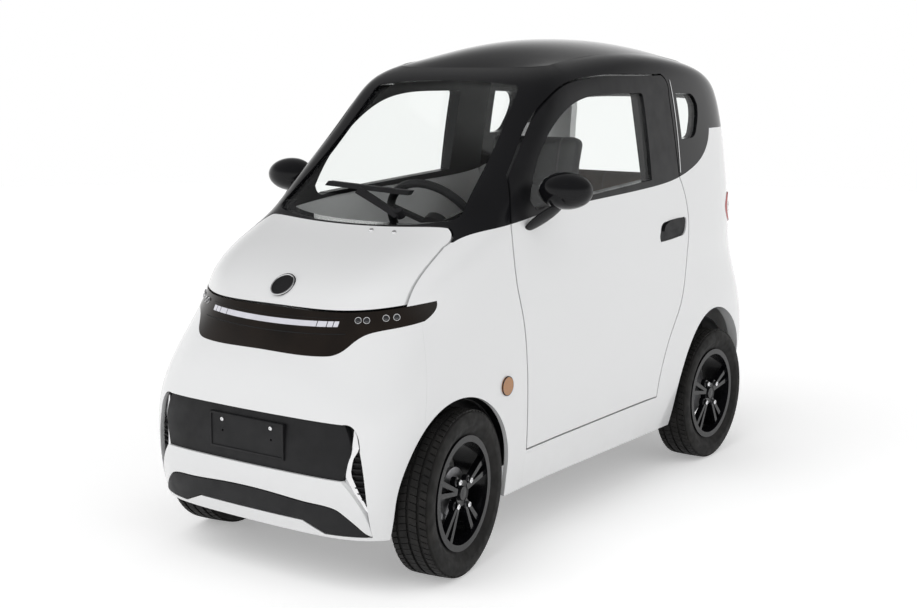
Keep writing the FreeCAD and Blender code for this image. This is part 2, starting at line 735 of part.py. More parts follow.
def side_lamp_rod(radius):
    """A rod that crosses the left fender at the side lamp."""
    return Part.makeCylinder(radius, size.half_width, Vector(size.half_width / 2, lamp_y, lamp_z), Vector(1, 0, 0))


left_skin = panel_skin.common(left_half).cut(above_belt)
fender = left_skin.common(side_prism(FENDER_SHARES))
fender = fender.cut(front_arch).cut(door_hole).cut(hood_hole).cut(lamp_hole)
fender = main_solid(fender.cut(side_lamp_rod(size.side_lamp_radius + size.seat_gap)))
add_pair("fender", fender)
side_lamp = skin(-size.lens_rise, size.panel_wall - size.seat_gap).common(side_lamp_rod(size.side_lamp_radius))
side_lamp = main_solid(side_lamp.common(left_half))
add("side_lamps", Part.makeCompound([side_lamp, mirrored(side_lamp)]))
print("fenders made")
nose = panel_skin.common(wide_box(-size.nose_reach * 2, FRONT_AXLE_Y + size.arch_half_length * 2,
                                  0, size.body_height * NOSE_TOP_SHARE))
nose = nose.cut(fender_hole).cut(mirrored(fender_hole)).cut(hood_hole).cut(lamp_hole).cut(grille_hole)
front_bumper = main_solid(nose.cut(front_arch).cut(mirrored(front_arch)))
bumper_item = add("front_bumper", front_bumper)
trim_back = size.trim_depth + size.trim_wall
trim_skin = skin(0, trim_back - size.seat_gap)
add("front_blade", main_solid(trim_skin.common(front_prism(BLADE_SHARES))))
add("front_lip", main_solid(trim_skin.common(front_prism(LIP_SHARES))))
plate_y = MID_Y - size.nose_reach + size.plate_setback
plate_low = PLATE_LEVEL_SHARE * size.body_height - size.plate_height / 2
plate_pocket = Part.makeBox(
    size.plate_width, size.plate_wall * 3, size.plate_height,
    Vector(-size.plate_width / 2, plate_y + size.plate_wall / 2 + size.seat_gap - size.plate_wall * 3, plate_low))


def grille_shape():
    """The grille: a back wall, the centre panel that carries the plate, and fins in both side pockets."""
    back = skin(trim_back, trim_back + size.panel_wall).common(front_prism(GRILLE_SHARES))
    centre = skin(size.trim_depth, trim_back + size.fin_wall)
    centre = centre.common(front_prism(PANEL_SHARES)).cut(front_prism(BLADE_SHARES, size.seat_gap))
    centre = main_solid(centre.cut(front_prism(LIP_SHARES, size.seat_gap)).cut(plate_pocket))
    fin_skin = skin(size.fin_depth, trim_back + size.fin_wall).common(front_prism(GRILLE_SHARES))
    fin_skin = fin_skin.cut(front_prism(PANEL_SHARES, size.panel_gap))
    fin_skin = fin_skin.cut(front_prism(BLADE_SHARES, size.panel_gap)).cut(front_prism(LIP_SHARES, size.panel_gap))
    top = GRILLE_SHARES[1][-1][1] * size.body_height
    pieces = [centre]
    for step in range(FIN_COUNT):
        level = top - size.fin_pitch * step
        slab = wide_box(-size.nose_reach * 2, FRONT_AXLE_Y, level - size.fin_wall, level)
        pieces += fin_skin.common(slab).Solids
    return back.fuse(pieces)


grille_item = add("front_grille", main_solid(grille_shape()))
add("lamp_bar", main_solid(panel_skin.common(front_prism(LAMP_SHARES)).common(
    wide_box(-size.nose_reach * 2, FRONT_AXLE_Y + size.arch_half_length, 0, size.body_height))))
badge_z = BADGE_LEVEL_SHARE * size.body_height
badge_place, badge_normal = hull_place(0, badge_z)
badge_foot = badge_place - badge_normal * (size.badge_wall / 2)
hood = main_solid(hood_skin.common(hood_block))
hood = hood.cut(Part.makeCylinder(size.badge_radius + size.seat_gap, size.badge_wall * 2,
                                  badge_foot - badge_normal * size.seat_gap, badge_normal))
add("hood", main_solid(hood))
add("badge_disc", Part.makeCylinder(size.badge_radius, size.badge_wall, badge_foot, badge_normal))
print("front made")

pivot, pivot_normal = hull_place(PIVOT_SHARES[0] * size.half_width, PIVOT_SHARES[1] * size.body_height)
wiper_foot = size.glass_inset - size.seat_gap
wiper_boss = Part.makeCylinder(size.wiper_boss_radius, size.wiper_rise + wiper_foot, pivot - pivot_normal * wiper_foot,
                               pivot_normal)
wiper_arm = skin(-size.trim_depth * 2, -size.trim_depth + size.fuse_depth).common(one_side_prism(WIPER_ARM_SHARES))
wiper_blade = skin(-size.trim_depth, size.glass_inset - size.seat_gap).common(one_side_prism(WIPER_BLADE_SHARES))
add("wiper", main_solid(wiper_boss.fuse([wiper_arm, wiper_blade])))
windscreen = glass_skin.common(front_prism(SCREEN_SHARES, -size.seat_gap))
add("windscreen", main_solid(windscreen))


# Roof panel
def roof_level(across, along):
    """Height of the roof panel's top at a place, from the crown line and a pillow between its edges."""
    top, below = RING_SHARES[-1], RING_SHARES[-2]
    share = ROOF_OVERLAP_SHARE
    crown = ((along - size.crown_centre) / size.crown_length) ** 2
    edge = top[0] + (below[0] - top[0]) * share - (top[1] + (below[1] - top[1]) * share) * crown
    middle, half_run = roof_run()
    half_width = (top[4] + (below[4] - top[4]) * share) * size.half_width
    pillow = (1 - (across / half_width) ** 2) * (1 - ((along - middle) / half_run) ** 4)
    return edge * size.body_height + size.roof_rise * pillow


def roof_run():
    """Middle and half length of the roof panel."""
    top, below = RING_SHARES[-1], RING_SHARES[-2]
    share = ROOF_OVERLAP_SHARE
    front = -(top[2] + (below[2] - top[2]) * share) * size.nose_reach
    back = (top[3] + (below[3] - top[3]) * share) * size.tail_reach
    return (front + back) / 2, (back - front) / 2


def roof_block(distance):
    """A block that runs up inside the outline between the two top rings, made larger all round."""
    share = ROOF_OVERLAP_SHARE
    points = [Vector(a.x + (b.x - a.x) * share, a.y + (b.y - a.y) * share, size.body_height / 2)
              for a, b in zip(HULL[-1], HULL[-2])]
    curve = Part.BSplineCurve()
    curve.interpolate(Points=points[:-1], PeriodicFlag=True)
    return grown(Part.Wire([curve.toShape()]), distance).extrude(Vector(0, 0, size.body_height))


def roof_surface():
    """The roof panel's crowned top, past its outline."""
    middle, half_run = roof_run()
    half_width = size.half_width * RING_SHARES[-2][4]
    net = []
    for step in range(ROOF_STEPS + 1):
        along = middle + half_run * (2 * step / ROOF_STEPS - 1) * ROOF_MARGIN
        row_points = []
        for across_step in range(-ROOF_STEPS, ROOF_STEPS + 1, 2):
            across = half_width * across_step / ROOF_STEPS
            row_points.append(Vector(across, along + MID_Y, roof_level(across, along)))
        net.append(row_points)
    surface = Part.BSplineSurface()
    surface.interpolate(net)
    return surface.toShape()


ROOF_MARGIN = 1.08
roof_top = roof_surface()
roof_panel = roof_top.extrude(Vector(0, 0, -size.roof_panel_wall)).common(roof_block(0))
roof_floor = roof_surface()
roof_floor.translate(Vector(0, 0, -size.roof_panel_wall - size.seat_gap))
roof_seat = roof_floor.extrude(Vector(0, 0, size.roof_well_depth)).common(roof_block(size.seat_gap))
add("roof_panel", main_solid(roof_panel))

frame = frame_skin.common(above_belt.common(left_half))
frame = frame.cut(front_prism(SCREEN_SHARES)).cut(door_hole).cut(hood_hole).cut(side_prism(QUARTER_GLASS_SHARES))
frame = frame.cut(tailgate_hole).cut(roof_seat)
frame = main_solid(frame)
frame = frame.fuse(mirrored(frame)).removeSplitter()
add("cabin_frame", main_solid(frame.cut(roof_panel)))
quarter_glass = main_solid(glass_skin.common(side_prism(QUARTER_GLASS_SHARES, -size.seat_gap)))
add("quarter_glass", Part.makeCompound([quarter_glass, mirrored(quarter_glass)]))
print("cabin frame made")

# Body sides, rear bumper and tailgate
rear_start = MID_Y + DOOR_SHARES[0][4][0] * size.wheelbase
side_low = FENDER_SHARES[4][1][1] * size.body_height
side = frame_skin.common(left_half).common(wide_box(rear_start, size.tail_reach * 2, 0, size.body_height * 2))
side = side.cut(above_belt).cut(door_hole).cut(rear_arch).cut(tailgate_hole).cut(fender_hole).cut(tail_lamp_hole)
rear_bumper_space = wide_box(REAR_AXLE_Y + size.arch_half_length, size.tail_reach * 2, 0,
                             REAR_BUMPER_SHARE * size.body_height)
floor_start = FRONT_AXLE_Y + size.arch_half_length + size.firewall_gap
floor_end = REAR_AXLE_Y - size.arch_half_length - size.step_gap
floor_room = Part.makeBox(
    size.floor_half_width + size.seat_gap, floor_end - floor_start + size.seat_gap * 2,
    size.firewall_top, Vector(0, floor_start - size.seat_gap, size.floor_height - size.seat_gap))
add_pair("body_side", main_solid(side.cut(rear_bumper_space).cut(floor_room)))
tail_lamp = skin(-size.lens_rise, size.lens_wall).common(one_side_prism(TAIL_LAMP_SHARES, 0, True))
tail_lamp = main_solid(tail_lamp.common(tail_corner))
add("tail_lamps", Part.makeCompound([tail_lamp, mirrored(tail_lamp)]))
rear_bumper = frame_skin.common(rear_bumper_space).cut(tailgate_hole).cut(rear_arch).cut(mirrored(rear_arch))
rear_plate_y = MID_Y + size.tail_reach - size.plate_recess
recess = Part.makeBox(
    size.plate_width + size.panel_gap * 2, size.plate_recess * 4, size.plate_height + size.panel_gap * 2,
    Vector(-size.plate_width / 2 - size.panel_gap, rear_plate_y, plate_low - size.panel_gap))
rear_item = add("rear_bumper", main_solid(rear_bumper.cut(recess)))
rear_only = wide_box(REAR_AXLE_Y, size.tail_reach * 2, 0, size.body_height * 2)
tailgate = frame_skin.common(front_prism(TAILGATE_SHARES, 0, True)).cut(front_prism(REAR_WINDOW_SHARES, 0, True))
add("tailgate", main_solid(tailgate.common(rear_only)))
rear_window = glass_skin.common(front_prism(REAR_WINDOW_SHARES, -size.seat_gap, True)).common(rear_only)
add("rear_window", main_solid(rear_window))
print("rear made")

# Pieces bound to the sheet
MIDDLE = "(Sizes.nose_reach - Sizes.tail_reach) / 2"
FRONT_AXLE = "(%s - Sizes.wheelbase / 2)" % MIDDLE
REAR_AXLE = "(%s + Sizes.wheelbase / 2)" % MIDDLE
PIN = "(Sizes.wheel_centre_offset - Sizes.kingpin_offset)"
RAIL_TOP = "(Sizes.rail_bottom + Sizes.rail_height)"
TOE = "(%s + Sizes.arch_half_length + Sizes.firewall_gap)" % FRONT_AXLE
KICK = "(%s - Sizes.arch_half_length)" % REAR_AXLE
STEP = "(%s - Sizes.step_gap)" % KICK
FLOOR_TOP = "(Sizes.floor_height + Sizes.floor_wall)"


def bind(item, *pairs):
    """Binds properties of a document object to expressions of the sheet's sizes."""
    for path, expression in zip(pairs[::2], pairs[1::2]):
        item.setExpression(path, expression)
    return item


def box(name, length, width, height, x, y, z):
    """A box bound to the sheet, by its sizes and its lowest corner."""
    return bind(doc.addObject("Part::Box", name), "Length", length, "Width", width, "Height", height,
                "Placement.Base.x", x, "Placement.Base.y", y, "Placement.Base.z", z)


def cylinder(name, radius, height, x, y, z, direction=Vector(0, 0, 1)):
    """A cylinder bound to the sheet, by its sizes, its first end and its direction."""
    item = doc.addObject("Part::Cylinder", name)
    item.Placement = Placement(Vector(0, 0, 0), Rotation(Vector(0, 0, 1), direction))
    return bind(item, "Radius", radius, "Height", height,
                "Placement.Base.x", x, "Placement.Base.y", y, "Placement.Base.z", z)


def fused(name, *items):
    """Several document objects joined into one."""
    item = doc.addObject("Part::MultiFuse", name)
    item.Shapes = list(items)
    item.Refine = True
    return item


def less(name, base, tool):
    """One document object cut by another."""
    item = doc.addObject("Part::Cut", name)
    item.Base = base
    item.Tool = tool
    return item


def together(name, *items):
    """Several document objects that stay apart, kept as one."""
    item = doc.addObject("Part::Compound", name)
    item.Links = list(items)
    return item


def mirror_image(name, source):
    """The same document object on the car's other side."""
    item = doc.addObject("Part::Mirroring", name)
    item.Source = source
    item.Normal = Vector(1, 0, 0)
    return item


def outline(body, name, role, corners, offset="0"):
    """A closed sketch on one of a body's own planes, its corners and its offset bound to the sheet."""
    sketch = body.newObject("Sketcher::SketchObject", name)
    plane = next(item for item in body.Origin.OriginFeatures if item.Role == role)
    sketch.AttachmentSupport = [(plane, "")]
    sketch.MapMode = "FlatFace"
    sketch.setExpression("AttachmentOffset.Base.z", offset)
    places = [(float(sheet.evalExpression(a)), float(sheet.evalExpression(b))) for a, b in corners]
    count = len(corners)
    for i in range(count):
        start, end = places[i], places[(i + 1) % count]
        sketch.addGeometry(Part.LineSegment(Vector(*start, 0), Vector(*end, 0)))
    for i in range(count):
        sketch.addConstraint(Sketcher.Constraint("Coincident", i, 2, (i + 1) % count, 1))
    for i, pair in enumerate(corners):
        for kind, expression, value in zip(("DistanceX", "DistanceY"), pair, places[i]):
            index = sketch.addConstraint(Sketcher.Constraint(kind, -1, 1, i, 1, value))
            sketch.setExpression("Constraints[%d]" % index, expression)
    return sketch


def new_body(name):
    """An empty body with its own origin planes."""
    body = doc.addObject("PartDesign::Body", name)
    doc.recompute()
    return body


def turned(body, name, sketch):
    """The sketch turned a full turn about the sideways axis."""
    feature = body.newObject("PartDesign::Revolution", name)
    feature.Profile = sketch
    feature.ReferenceAxis = (sketch, ["H_Axis"])
    feature.Angle = 360
    doc.recompute()
    return feature


def thickened(body, name, sketch, length, both_ways=False):
    """The sketch padded by a bound length, to one side or evenly to both."""
    feature = body.newObject("PartDesign::Pad", name)
    feature.Profile = sketch
    if both_ways:
        feature.SideType = "Symmetric"
    feature.setExpression("Length", length)
    doc.recompute()
    return feature


def rounded(body, name, base, radius, chosen):
    """Chosen edges of a feature rounded by a bound radius."""
    edges = ["Edge%d" % (i + 1) for i, edge in enumerate(base.Shape.Edges) if chosen(edge)]
    feature = body.newObject("PartDesign::Fillet", name)
    feature.Base = (base, edges)
    feature.setExpression("Radius", radius)
    doc.recompute()
    return feature


def across_pad(name, corners, half_width, round_radius=None):
    """A side outline padded evenly about the centre plane, its long edges rounded if a radius is given."""
    body = new_body(name)
    pad = thickened(body, name + "_pad", outline(body, name + "_side", "YZ_Plane", corners), "2 * (%s)" % half_width, True)
    if round_radius:
        rounded(body, name + "_round", pad, round_radius, lambda edge: True)
    return body


def keep(item):
    """Makes a document object one of the car's pieces."""
    NODES.append(item)
    return item


def slab(name, half_width, start, end, bottom, top):
    """A box that is the same on both sides of the centre."""
    return box(name, "2 * (%s)" % half_width, "%s - (%s)" % (end, start), "%s - (%s)" % (top, bottom),
               "-(%s)" % half_width, start, bottom)


# Wheels
HALF_TYRE = "Sizes.tyre_width / 2"
HALF_RIM = "Sizes.rim_width / 2"
BEAD_FACE = HALF_RIM + " - Sizes.rim_lip"
RIM_FACE = BEAD_FACE + " - Sizes.spoke_depth"
HUB_FACE = BEAD_FACE + " - Sizes.hub_dish"


def tyre_body(name):
    """A tyre about the sideways axis, turned from its section and rounded at the shoulders."""
    body = new_body(name)
    profile = outline(body, name + "_section", "XZ_Plane", (
        ("-(%s)" % BEAD_FACE, "Sizes.tyre_bead_radius"),
        ("-(%s)" % BEAD_FACE, "Sizes.tyre_bead_radius + Sizes.rim_flange"),
        ("-(%s)" % HALF_TYRE, "Sizes.tyre_bead_radius + Sizes.tyre_sidewall"),
        ("-(%s)" % HALF_TYRE, "Sizes.tyre_radius"),
        (HALF_TYRE, "Sizes.tyre_radius"),
        (HALF_TYRE, "Sizes.tyre_bead_radius + Sizes.tyre_sidewall"),
        (BEAD_FACE, "Sizes.tyre_bead_radius + Sizes.rim_flange"),
        (BEAD_FACE, "Sizes.tyre_bead_radius"),
    ))
    carcass = turned(body, name + "_carcass", profile)
    body.Tip = rounded(body, name + "_shoulders", carcass, "Sizes.tyre_shoulder", lambda edge: (
        abs(edge.BoundBox.ZMax - size.tyre_radius) < size.seat_gap and edge.BoundBox.XLength < size.seat_gap))
    return body


def rim_body(name):
    """A rim about the sideways axis: a flanged barrel, five pairs of spokes and a bored hub."""
    body = new_body(name)
    seat = "Sizes.tyre_bead_radius - Sizes.seat_gap"
    flange = "Sizes.tyre_bead_radius + Sizes.rim_flange"
    bead = BEAD_FACE + " + Sizes.seat_gap"
    inside = "Sizes.tyre_bead_radius - Sizes.rim_wall - Sizes.seat_gap"
    turned(body, name + "_barrel", outline(body, name + "_section", "XZ_Plane", (
        ("-(%s)" % HALF_RIM, flange), ("-(%s)" % bead, flange), ("-(%s)" % bead, seat), (bead, seat),
        (bead, flange), (HALF_RIM, flange), (HALF_RIM, inside), ("-(%s)" % HALF_RIM, inside),
    )))
    turned(body, name + "_hub", outline(body, name + "_hub_section", "XZ_Plane", (
        (RIM_FACE, "Sizes.spindle_radius + Sizes.running_gap"), (RIM_FACE, "Sizes.hub_radius"),
        (BEAD_FACE, "Sizes.hub_radius"), (HUB_FACE, "Sizes.spindle_radius + Sizes.running_gap"),
    )))
    root = "Sizes.hub_radius - Sizes.rim_wall"
    reach = "Sizes.tyre_bead_radius - Sizes.rim_wall / 2"
    spoke = outline(body, name + "_spoke", "YZ_Plane", (
        ("-Sizes.spoke_root", root),
        ("-(Sizes.spoke_spread + Sizes.spoke_width)", reach),
        ("-Sizes.spoke_spread", reach),
        ("0", root + " + Sizes.spoke_width"),
        ("Sizes.spoke_spread", reach),
        ("Sizes.spoke_spread + Sizes.spoke_width", reach),
        ("Sizes.spoke_root", root),
    ), RIM_FACE)
    pattern = body.newObject("PartDesign::PolarPattern", name + "_spokes")
    pattern.Originals = [thickened(body, name + "_arm", spoke, "Sizes.spoke_depth")]
    pattern.Axis = (spoke, ["N_Axis"])
    pattern.Angle = 360
    pattern.Occurrences = SPOKE_PAIRS
    body.Tip = pattern
    doc.recompute()
    return body


TYRE = tyre_body("tyre")
RIM = rim_body("rim")


def wheel(corner, side, steered):
    """The tyre and the rim, set at one corner of the car and turned with the steering."""
    turn = 0 if side > 0 else 180
    for body in (together("tyre_" + corner, TYRE), together("rim_" + corner, RIM)):
        body.Placement = Placement(Vector(0, 0, 0), Rotation(Vector(0, 0, 1), 1))
        if steered:
            x = "%d * (%s + Sizes.kingpin_offset * cos(Sizes.rest_steer_angle))" % (side, PIN)
            y = "%s + %d * Sizes.kingpin_offset * sin(Sizes.rest_steer_angle)" % (FRONT_AXLE, side)
            bind(body, "Placement.Rotation.Angle", "%d + Sizes.rest_steer_angle" % turn)
        else:
            x = "%d * Sizes.wheel_centre_offset" % side
            y = REAR_AXLE
            bind(body, "Placement.Rotation.Angle", "%d" % turn)
        bind(body, "Placement.Base.x", x, "Placement.Base.y", y, "Placement.Base.z", "Sizes.tyre_radius")
        keep(body)


wheel("front_left", 1, True)
wheel("front_right", -1, True)
wheel("rear_left", 1, False)
wheel("rear_right", -1, False)
print("wheels made")


def knuckle(name, side):
    """A king pin with its spindle, boss, brake disc and steering arm, about the pin's middle."""
    out = Vector(side, 0, 0)
    whole = fused(
        name,
        cylinder(name + "_pin", "Sizes.kingpin_radius", "Sizes.kingpin_length", "0", "0", "-Sizes.kingpin_length / 2"),
        cylinder(name + "_spindle", "Sizes.spindle_radius", HUB_FACE + " + Sizes.kingpin_offset", "0", "0", "0", out),
        cylinder(name + "_boss", "Sizes.boss_radius", "Sizes.boss_length", "0", "0", "0", out),
        cylinder(name + "_disc", "Sizes.disc_radius", "Sizes.disc_wall", "%d * Sizes.disc_offset" % side, "0", "0", out),
        box(name + "_arm", "Sizes.kingpin_radius", "Sizes.steering_arm_length", "Sizes.kingpin_radius",
            "-Sizes.kingpin_radius / 2", "0", "-Sizes.kingpin_radius / 2"),
    )
    whole.Placement = Placement(Vector(0, 0, 0), Rotation(Vector(0, 0, 1), 1))
    bind(whole, "Placement.Base.x", "%d * %s" % (side, PIN), "Placement.Base.y", FRONT_AXLE,
         "Placement.Base.z", "Sizes.tyre_radius", "Placement.Rotation.Angle", "Sizes.rest_steer_angle")
    keep(whole)


knuckle("knuckle_left", 1)
knuckle("knuckle_right", -1)

# Chassis frame
RAIL_FRONT = "(%s - Sizes.rail_overhang)" % FRONT_AXLE
RAIL_BACK = "(%s + Sizes.rail_overhang)" % REAR_AXLE


def side_rail():
    """The left side rail, padded from its side outline."""
    body = new_body("rail_left")
    thickened(body, "rail", outline(body, "rail_outline", "YZ_Plane", (
        (RAIL_FRONT, "Sizes.rail_bottom"),
        (KICK + " - Sizes.rail_kick", "Sizes.rail_bottom"),
        (KICK, "Sizes.rail_bottom + Sizes.rail_kick"),
        (RAIL_BACK, "Sizes.rail_bottom + Sizes.rail_kick"),
        (RAIL_BACK, RAIL_TOP + " + Sizes.rail_kick"),
        (KICK + " - Sizes.rail_height / 2", RAIL_TOP + " + Sizes.rail_kick"),
        (KICK + " - Sizes.rail_kick - Sizes.rail_height / 2", RAIL_TOP),
        (RAIL_FRONT, RAIL_TOP),
    ), "Sizes.rail_offset - Sizes.rail_width / 2"), "Sizes.rail_width")
    return body


def cross_member(name, y, z):
    """A cross member between the side rails."""
    return box(name, "Sizes.rail_offset * 2 - Sizes.rail_width", "Sizes.rail_width", "Sizes.rail_height",
               "Sizes.rail_width / 2 - Sizes.rail_offset", y, z)


rail_left = side_rail()
chassis = keep(fused(
    "chassis_frame", rail_left, mirror_image("rail_right", rail_left),
    cross_member("front_member", RAIL_FRONT, "Sizes.rail_bottom"),
    cross_member("toe_member", FRONT_AXLE + " + Sizes.arch_half_length", "Sizes.rail_bottom"),
    cross_member("seat_member", MIDDLE + " + Sizes.arch_half_length", "Sizes.rail_bottom"),
    cross_member("rear_member", RAIL_BACK + " - Sizes.rail_width", "Sizes.rail_bottom + Sizes.rail_kick"),
))
BATTERY_START = "(%s + Sizes.arch_half_length + (%s - %s + Sizes.rail_width - Sizes.battery_length) / 2)" % (
    FRONT_AXLE, MIDDLE, FRONT_AXLE)
keep(box("battery_pack", "Sizes.battery_width", "Sizes.battery_length", "Sizes.battery_height",
         "-Sizes.battery_width / 2", BATTERY_START, "Sizes.floor_height - Sizes.battery_height - Sizes.seat_gap"))
plates = fused(
    "floor_plates",
    slab("cabin_floor", "Sizes.floor_half_width", TOE, STEP, "Sizes.floor_height", FLOOR_TOP),
    slab("firewall", "Sizes.floor_half_width", TOE, TOE + " + Sizes.floor_wall", "Sizes.floor_height",
         "Sizes.firewall_top"),
    slab("riser", "Sizes.deck_half_width", STEP + " - Sizes.floor_wall", STEP, "Sizes.floor_height",
         "Sizes.deck_height"),
    slab("rear_deck", "Sizes.deck_half_width", STEP + " - Sizes.floor_wall", RAIL_BACK + " + Sizes.deck_overhang",
         "Sizes.deck_height - Sizes.floor_wall", "Sizes.deck_height"),
)
keep(less("floor_pan", plates, chassis))


def liner(name, side, axle, inner, outer, radius, *neighbours):
    """A half tube over one wheel, open below and cut back from its neighbours."""
    out = Vector(side, 0, 0)
    width = "(%s - %s)" % (outer, inner)
    tube = less(name + "_tube", *[
        cylinder(name + part_name, part_radius, width, "%d * %s" % (side, inner), axle, "Sizes.tyre_radius", out)
        for part_name, part_radius in (("_shell", radius + " + Sizes.liner_wall"), ("_room", radius))])
    lower = slab(name + "_below", "Sizes.half_width", "%s - 2 * (%s)" % (axle, radius), "%s + 2 * (%s)" % (axle, radius),
                 "Sizes.tyre_radius - 2 * (%s)" % radius, "Sizes.tyre_radius")
    half = less(name + "_half", tube, lower)
    for neighbour in neighbours:
        half = less("%s_by_%s" % (name, neighbour.Label), half, neighbour)
    return half


liners = []
for side, side_name in ((1, "left"), (-1, "right")):
    liners.append(liner("front_liner_" + side_name, side, FRONT_AXLE, "Sizes.front_liner_inner",
                        "Sizes.front_liner_outer", "Sizes.arch_half_length + Sizes.front_liner_room", bumper_item,
                        grille_item))
    liners.append(liner("rear_liner_" + side_name, side, REAR_AXLE, "(Sizes.deck_half_width + Sizes.seat_gap)",
                        "Sizes.rear_liner_outer", "Sizes.arch_half_length + Sizes.rear_liner_room", rear_item))
keep(together("wheel_liners", *liners))
print("chassis made")

# Front suspension
EYE_LEVEL = "(Sizes.kingpin_length / 2 - Sizes.arm_eye_height)"
RAIL_SIDE = "(Sizes.rail_offset + Sizes.rail_width / 2)"
ARM_TOP = "(Sizes.tyre_radius + Sizes.kingpin_length / 2)"
UPPER_ARM = "Sizes.tyre_radius + " + EYE_LEVEL
LOWER_ARM = "Sizes.tyre_radius - Sizes.kingpin_length / 2"


def arm(name, level):
    """A suspension arm from the side rail, with an eye round the king pin."""
    whole = fused(
        name + "_whole",
        cylinder(name + "_eye", "Sizes.arm_eye_radius", "Sizes.arm_eye_height", PIN, FRONT_AXLE, level),
        box(name + "_bar", "%s - %s" % (PIN, RAIL_SIDE), "Sizes.arm_width", "Sizes.arm_eye_height", RAIL_SIDE,
            FRONT_AXLE + " - Sizes.arm_width / 2", level),
    )
    bore = cylinder(name + "_bore", "Sizes.kingpin_radius + Sizes.running_gap", "Sizes.kingpin_length * 2", PIN,
                    FRONT_AXLE, "Sizes.tyre_radius - Sizes.kingpin_length")
    return less(name, whole, bore)


tower_start = FRONT_AXLE + " - Sizes.tower_length / 2"
left_suspension = fused(
    "suspension_left", arm("upper_arm", UPPER_ARM), arm("lower_arm", LOWER_ARM),
    box("tower", "Sizes.rail_width", "Sizes.tower_length", "Sizes.tower_top - " + RAIL_TOP,
        "Sizes.rail_offset - Sizes.rail_width / 2", tower_start, RAIL_TOP),
    box("tower_lug", "Sizes.rail_width", "Sizes.tower_length", "Sizes.rail_height", RAIL_SIDE, tower_start,
        "Sizes.tower_top - Sizes.rail_height"),
    box("lower_mount", "Sizes.rail_width", "Sizes.tower_length",
        "Sizes.rail_bottom + Sizes.arm_width - (%s)" % LOWER_ARM, RAIL_SIDE, tower_start, LOWER_ARM),
    cylinder("front_spring", "Sizes.spring_radius", "Sizes.tower_top - Sizes.rail_height - " + ARM_TOP,
             RAIL_SIDE + " + Sizes.spring_radius + Sizes.seat_gap", FRONT_AXLE, ARM_TOP),
)
keep(together("front_suspension", left_suspension, mirror_image("suspension_right", left_suspension)))

# Rear axle
TUBE_REACH = "(Sizes.wheel_centre_offset - Sizes.tyre_width / 2 - Sizes.panel_gap)"
SPINDLE_REACH = "(Sizes.wheel_centre_offset + %s)" % HUB_FACE
SPRING_PLACE = "(Sizes.deck_half_width - Sizes.spring_radius - Sizes.panel_gap)"


def axle_rod(name, radius, reach):
    """A rod across the car on the rear axle's line."""
    return cylinder(name, radius, "2 * " + reach, "-" + reach, REAR_AXLE, "Sizes.tyre_radius", Vector(1, 0, 0))


axle_parts = [
    axle_rod("axle_tube", "Sizes.axle_radius", TUBE_REACH),
    axle_rod("axle_spindles", "Sizes.spindle_radius", SPINDLE_REACH),
    axle_rod("motor", "Sizes.motor_radius", "(Sizes.motor_length / 2)"),
]
for side, side_name in ((1, "left"), (-1, "right")):
    axle_parts.append(cylinder("drum_" + side_name, "Sizes.drum_radius", "Sizes.drum_width", "%d * %s" % (side, TUBE_REACH),
                               REAR_AXLE, "Sizes.tyre_radius", Vector(side, 0, 0)))
    axle_parts.append(cylinder("rear_spring_" + side_name, "Sizes.spring_radius",
                               "Sizes.deck_height - Sizes.floor_wall - Sizes.tyre_radius", "%d * %s" % (side, SPRING_PLACE),
                               REAR_AXLE, "Sizes.tyre_radius"))
keep(fused("rear_axle", *axle_parts))

# Cabin
DASH_FACE = "(%s + Sizes.dash_depth)" % TOE
TOE_BACK = TOE + " + Sizes.floor_wall + Sizes.seat_gap"
DASH_TOP = "(Sizes.firewall_top + Sizes.dash_height)"
DASH_LOW = "Sizes.firewall_top - Sizes.dash_height / 2"
dash_pad = across_pad("dash_whole", (
    (TOE_BACK, DASH_LOW),
    (DASH_FACE + " - Sizes.dash_depth / 2", DASH_LOW),
    (DASH_FACE, "Sizes.firewall_top + Sizes.dash_height / 3"),
    (DASH_FACE, DASH_TOP + " - Sizes.dash_round"),
    (TOE, DASH_TOP),
    (TOE + " - Sizes.dash_nose", DASH_TOP + " - Sizes.dash_round"),
    (TOE + " - Sizes.dash_nose", "Sizes.firewall_top + Sizes.seat_gap"),
    (TOE_BACK, "Sizes.firewall_top + Sizes.seat_gap"),
), "Sizes.dash_half_width")
binnacle = across_pad("binnacle", (
    (TOE, DASH_TOP + " - Sizes.dash_round"),
    (DASH_FACE, DASH_TOP + " - Sizes.dash_round * 2"),
    (DASH_FACE, DASH_TOP + " - Sizes.dash_round + Sizes.binnacle_height / 2"),
    (TOE + " + Sizes.dash_depth / 2", DASH_TOP + " - Sizes.dash_round + Sizes.binnacle_height"),
), "Sizes.binnacle_width / 2")
dashboard = keep(fused("dashboard", dash_pad, binnacle))


def on_column(item, start):
    """Sets an object on the steering column's line, a distance from the wheel's centre along it."""
    lean = "Sizes.steering_column_tilt"
    item.Placement = Placement(Vector(0, 0, 0), Rotation(Vector(-1, 0, 0), 1))
    return bind(item, "Placement.Rotation.Angle", "90 - " + lean,
                "Placement.Base.y", "%s + Sizes.steering_reach + (%s) * cos(%s)" % (DASH_FACE, start, lean),
                "Placement.Base.z", "Sizes.steering_height + (%s) * sin(%s)" % (start, lean))


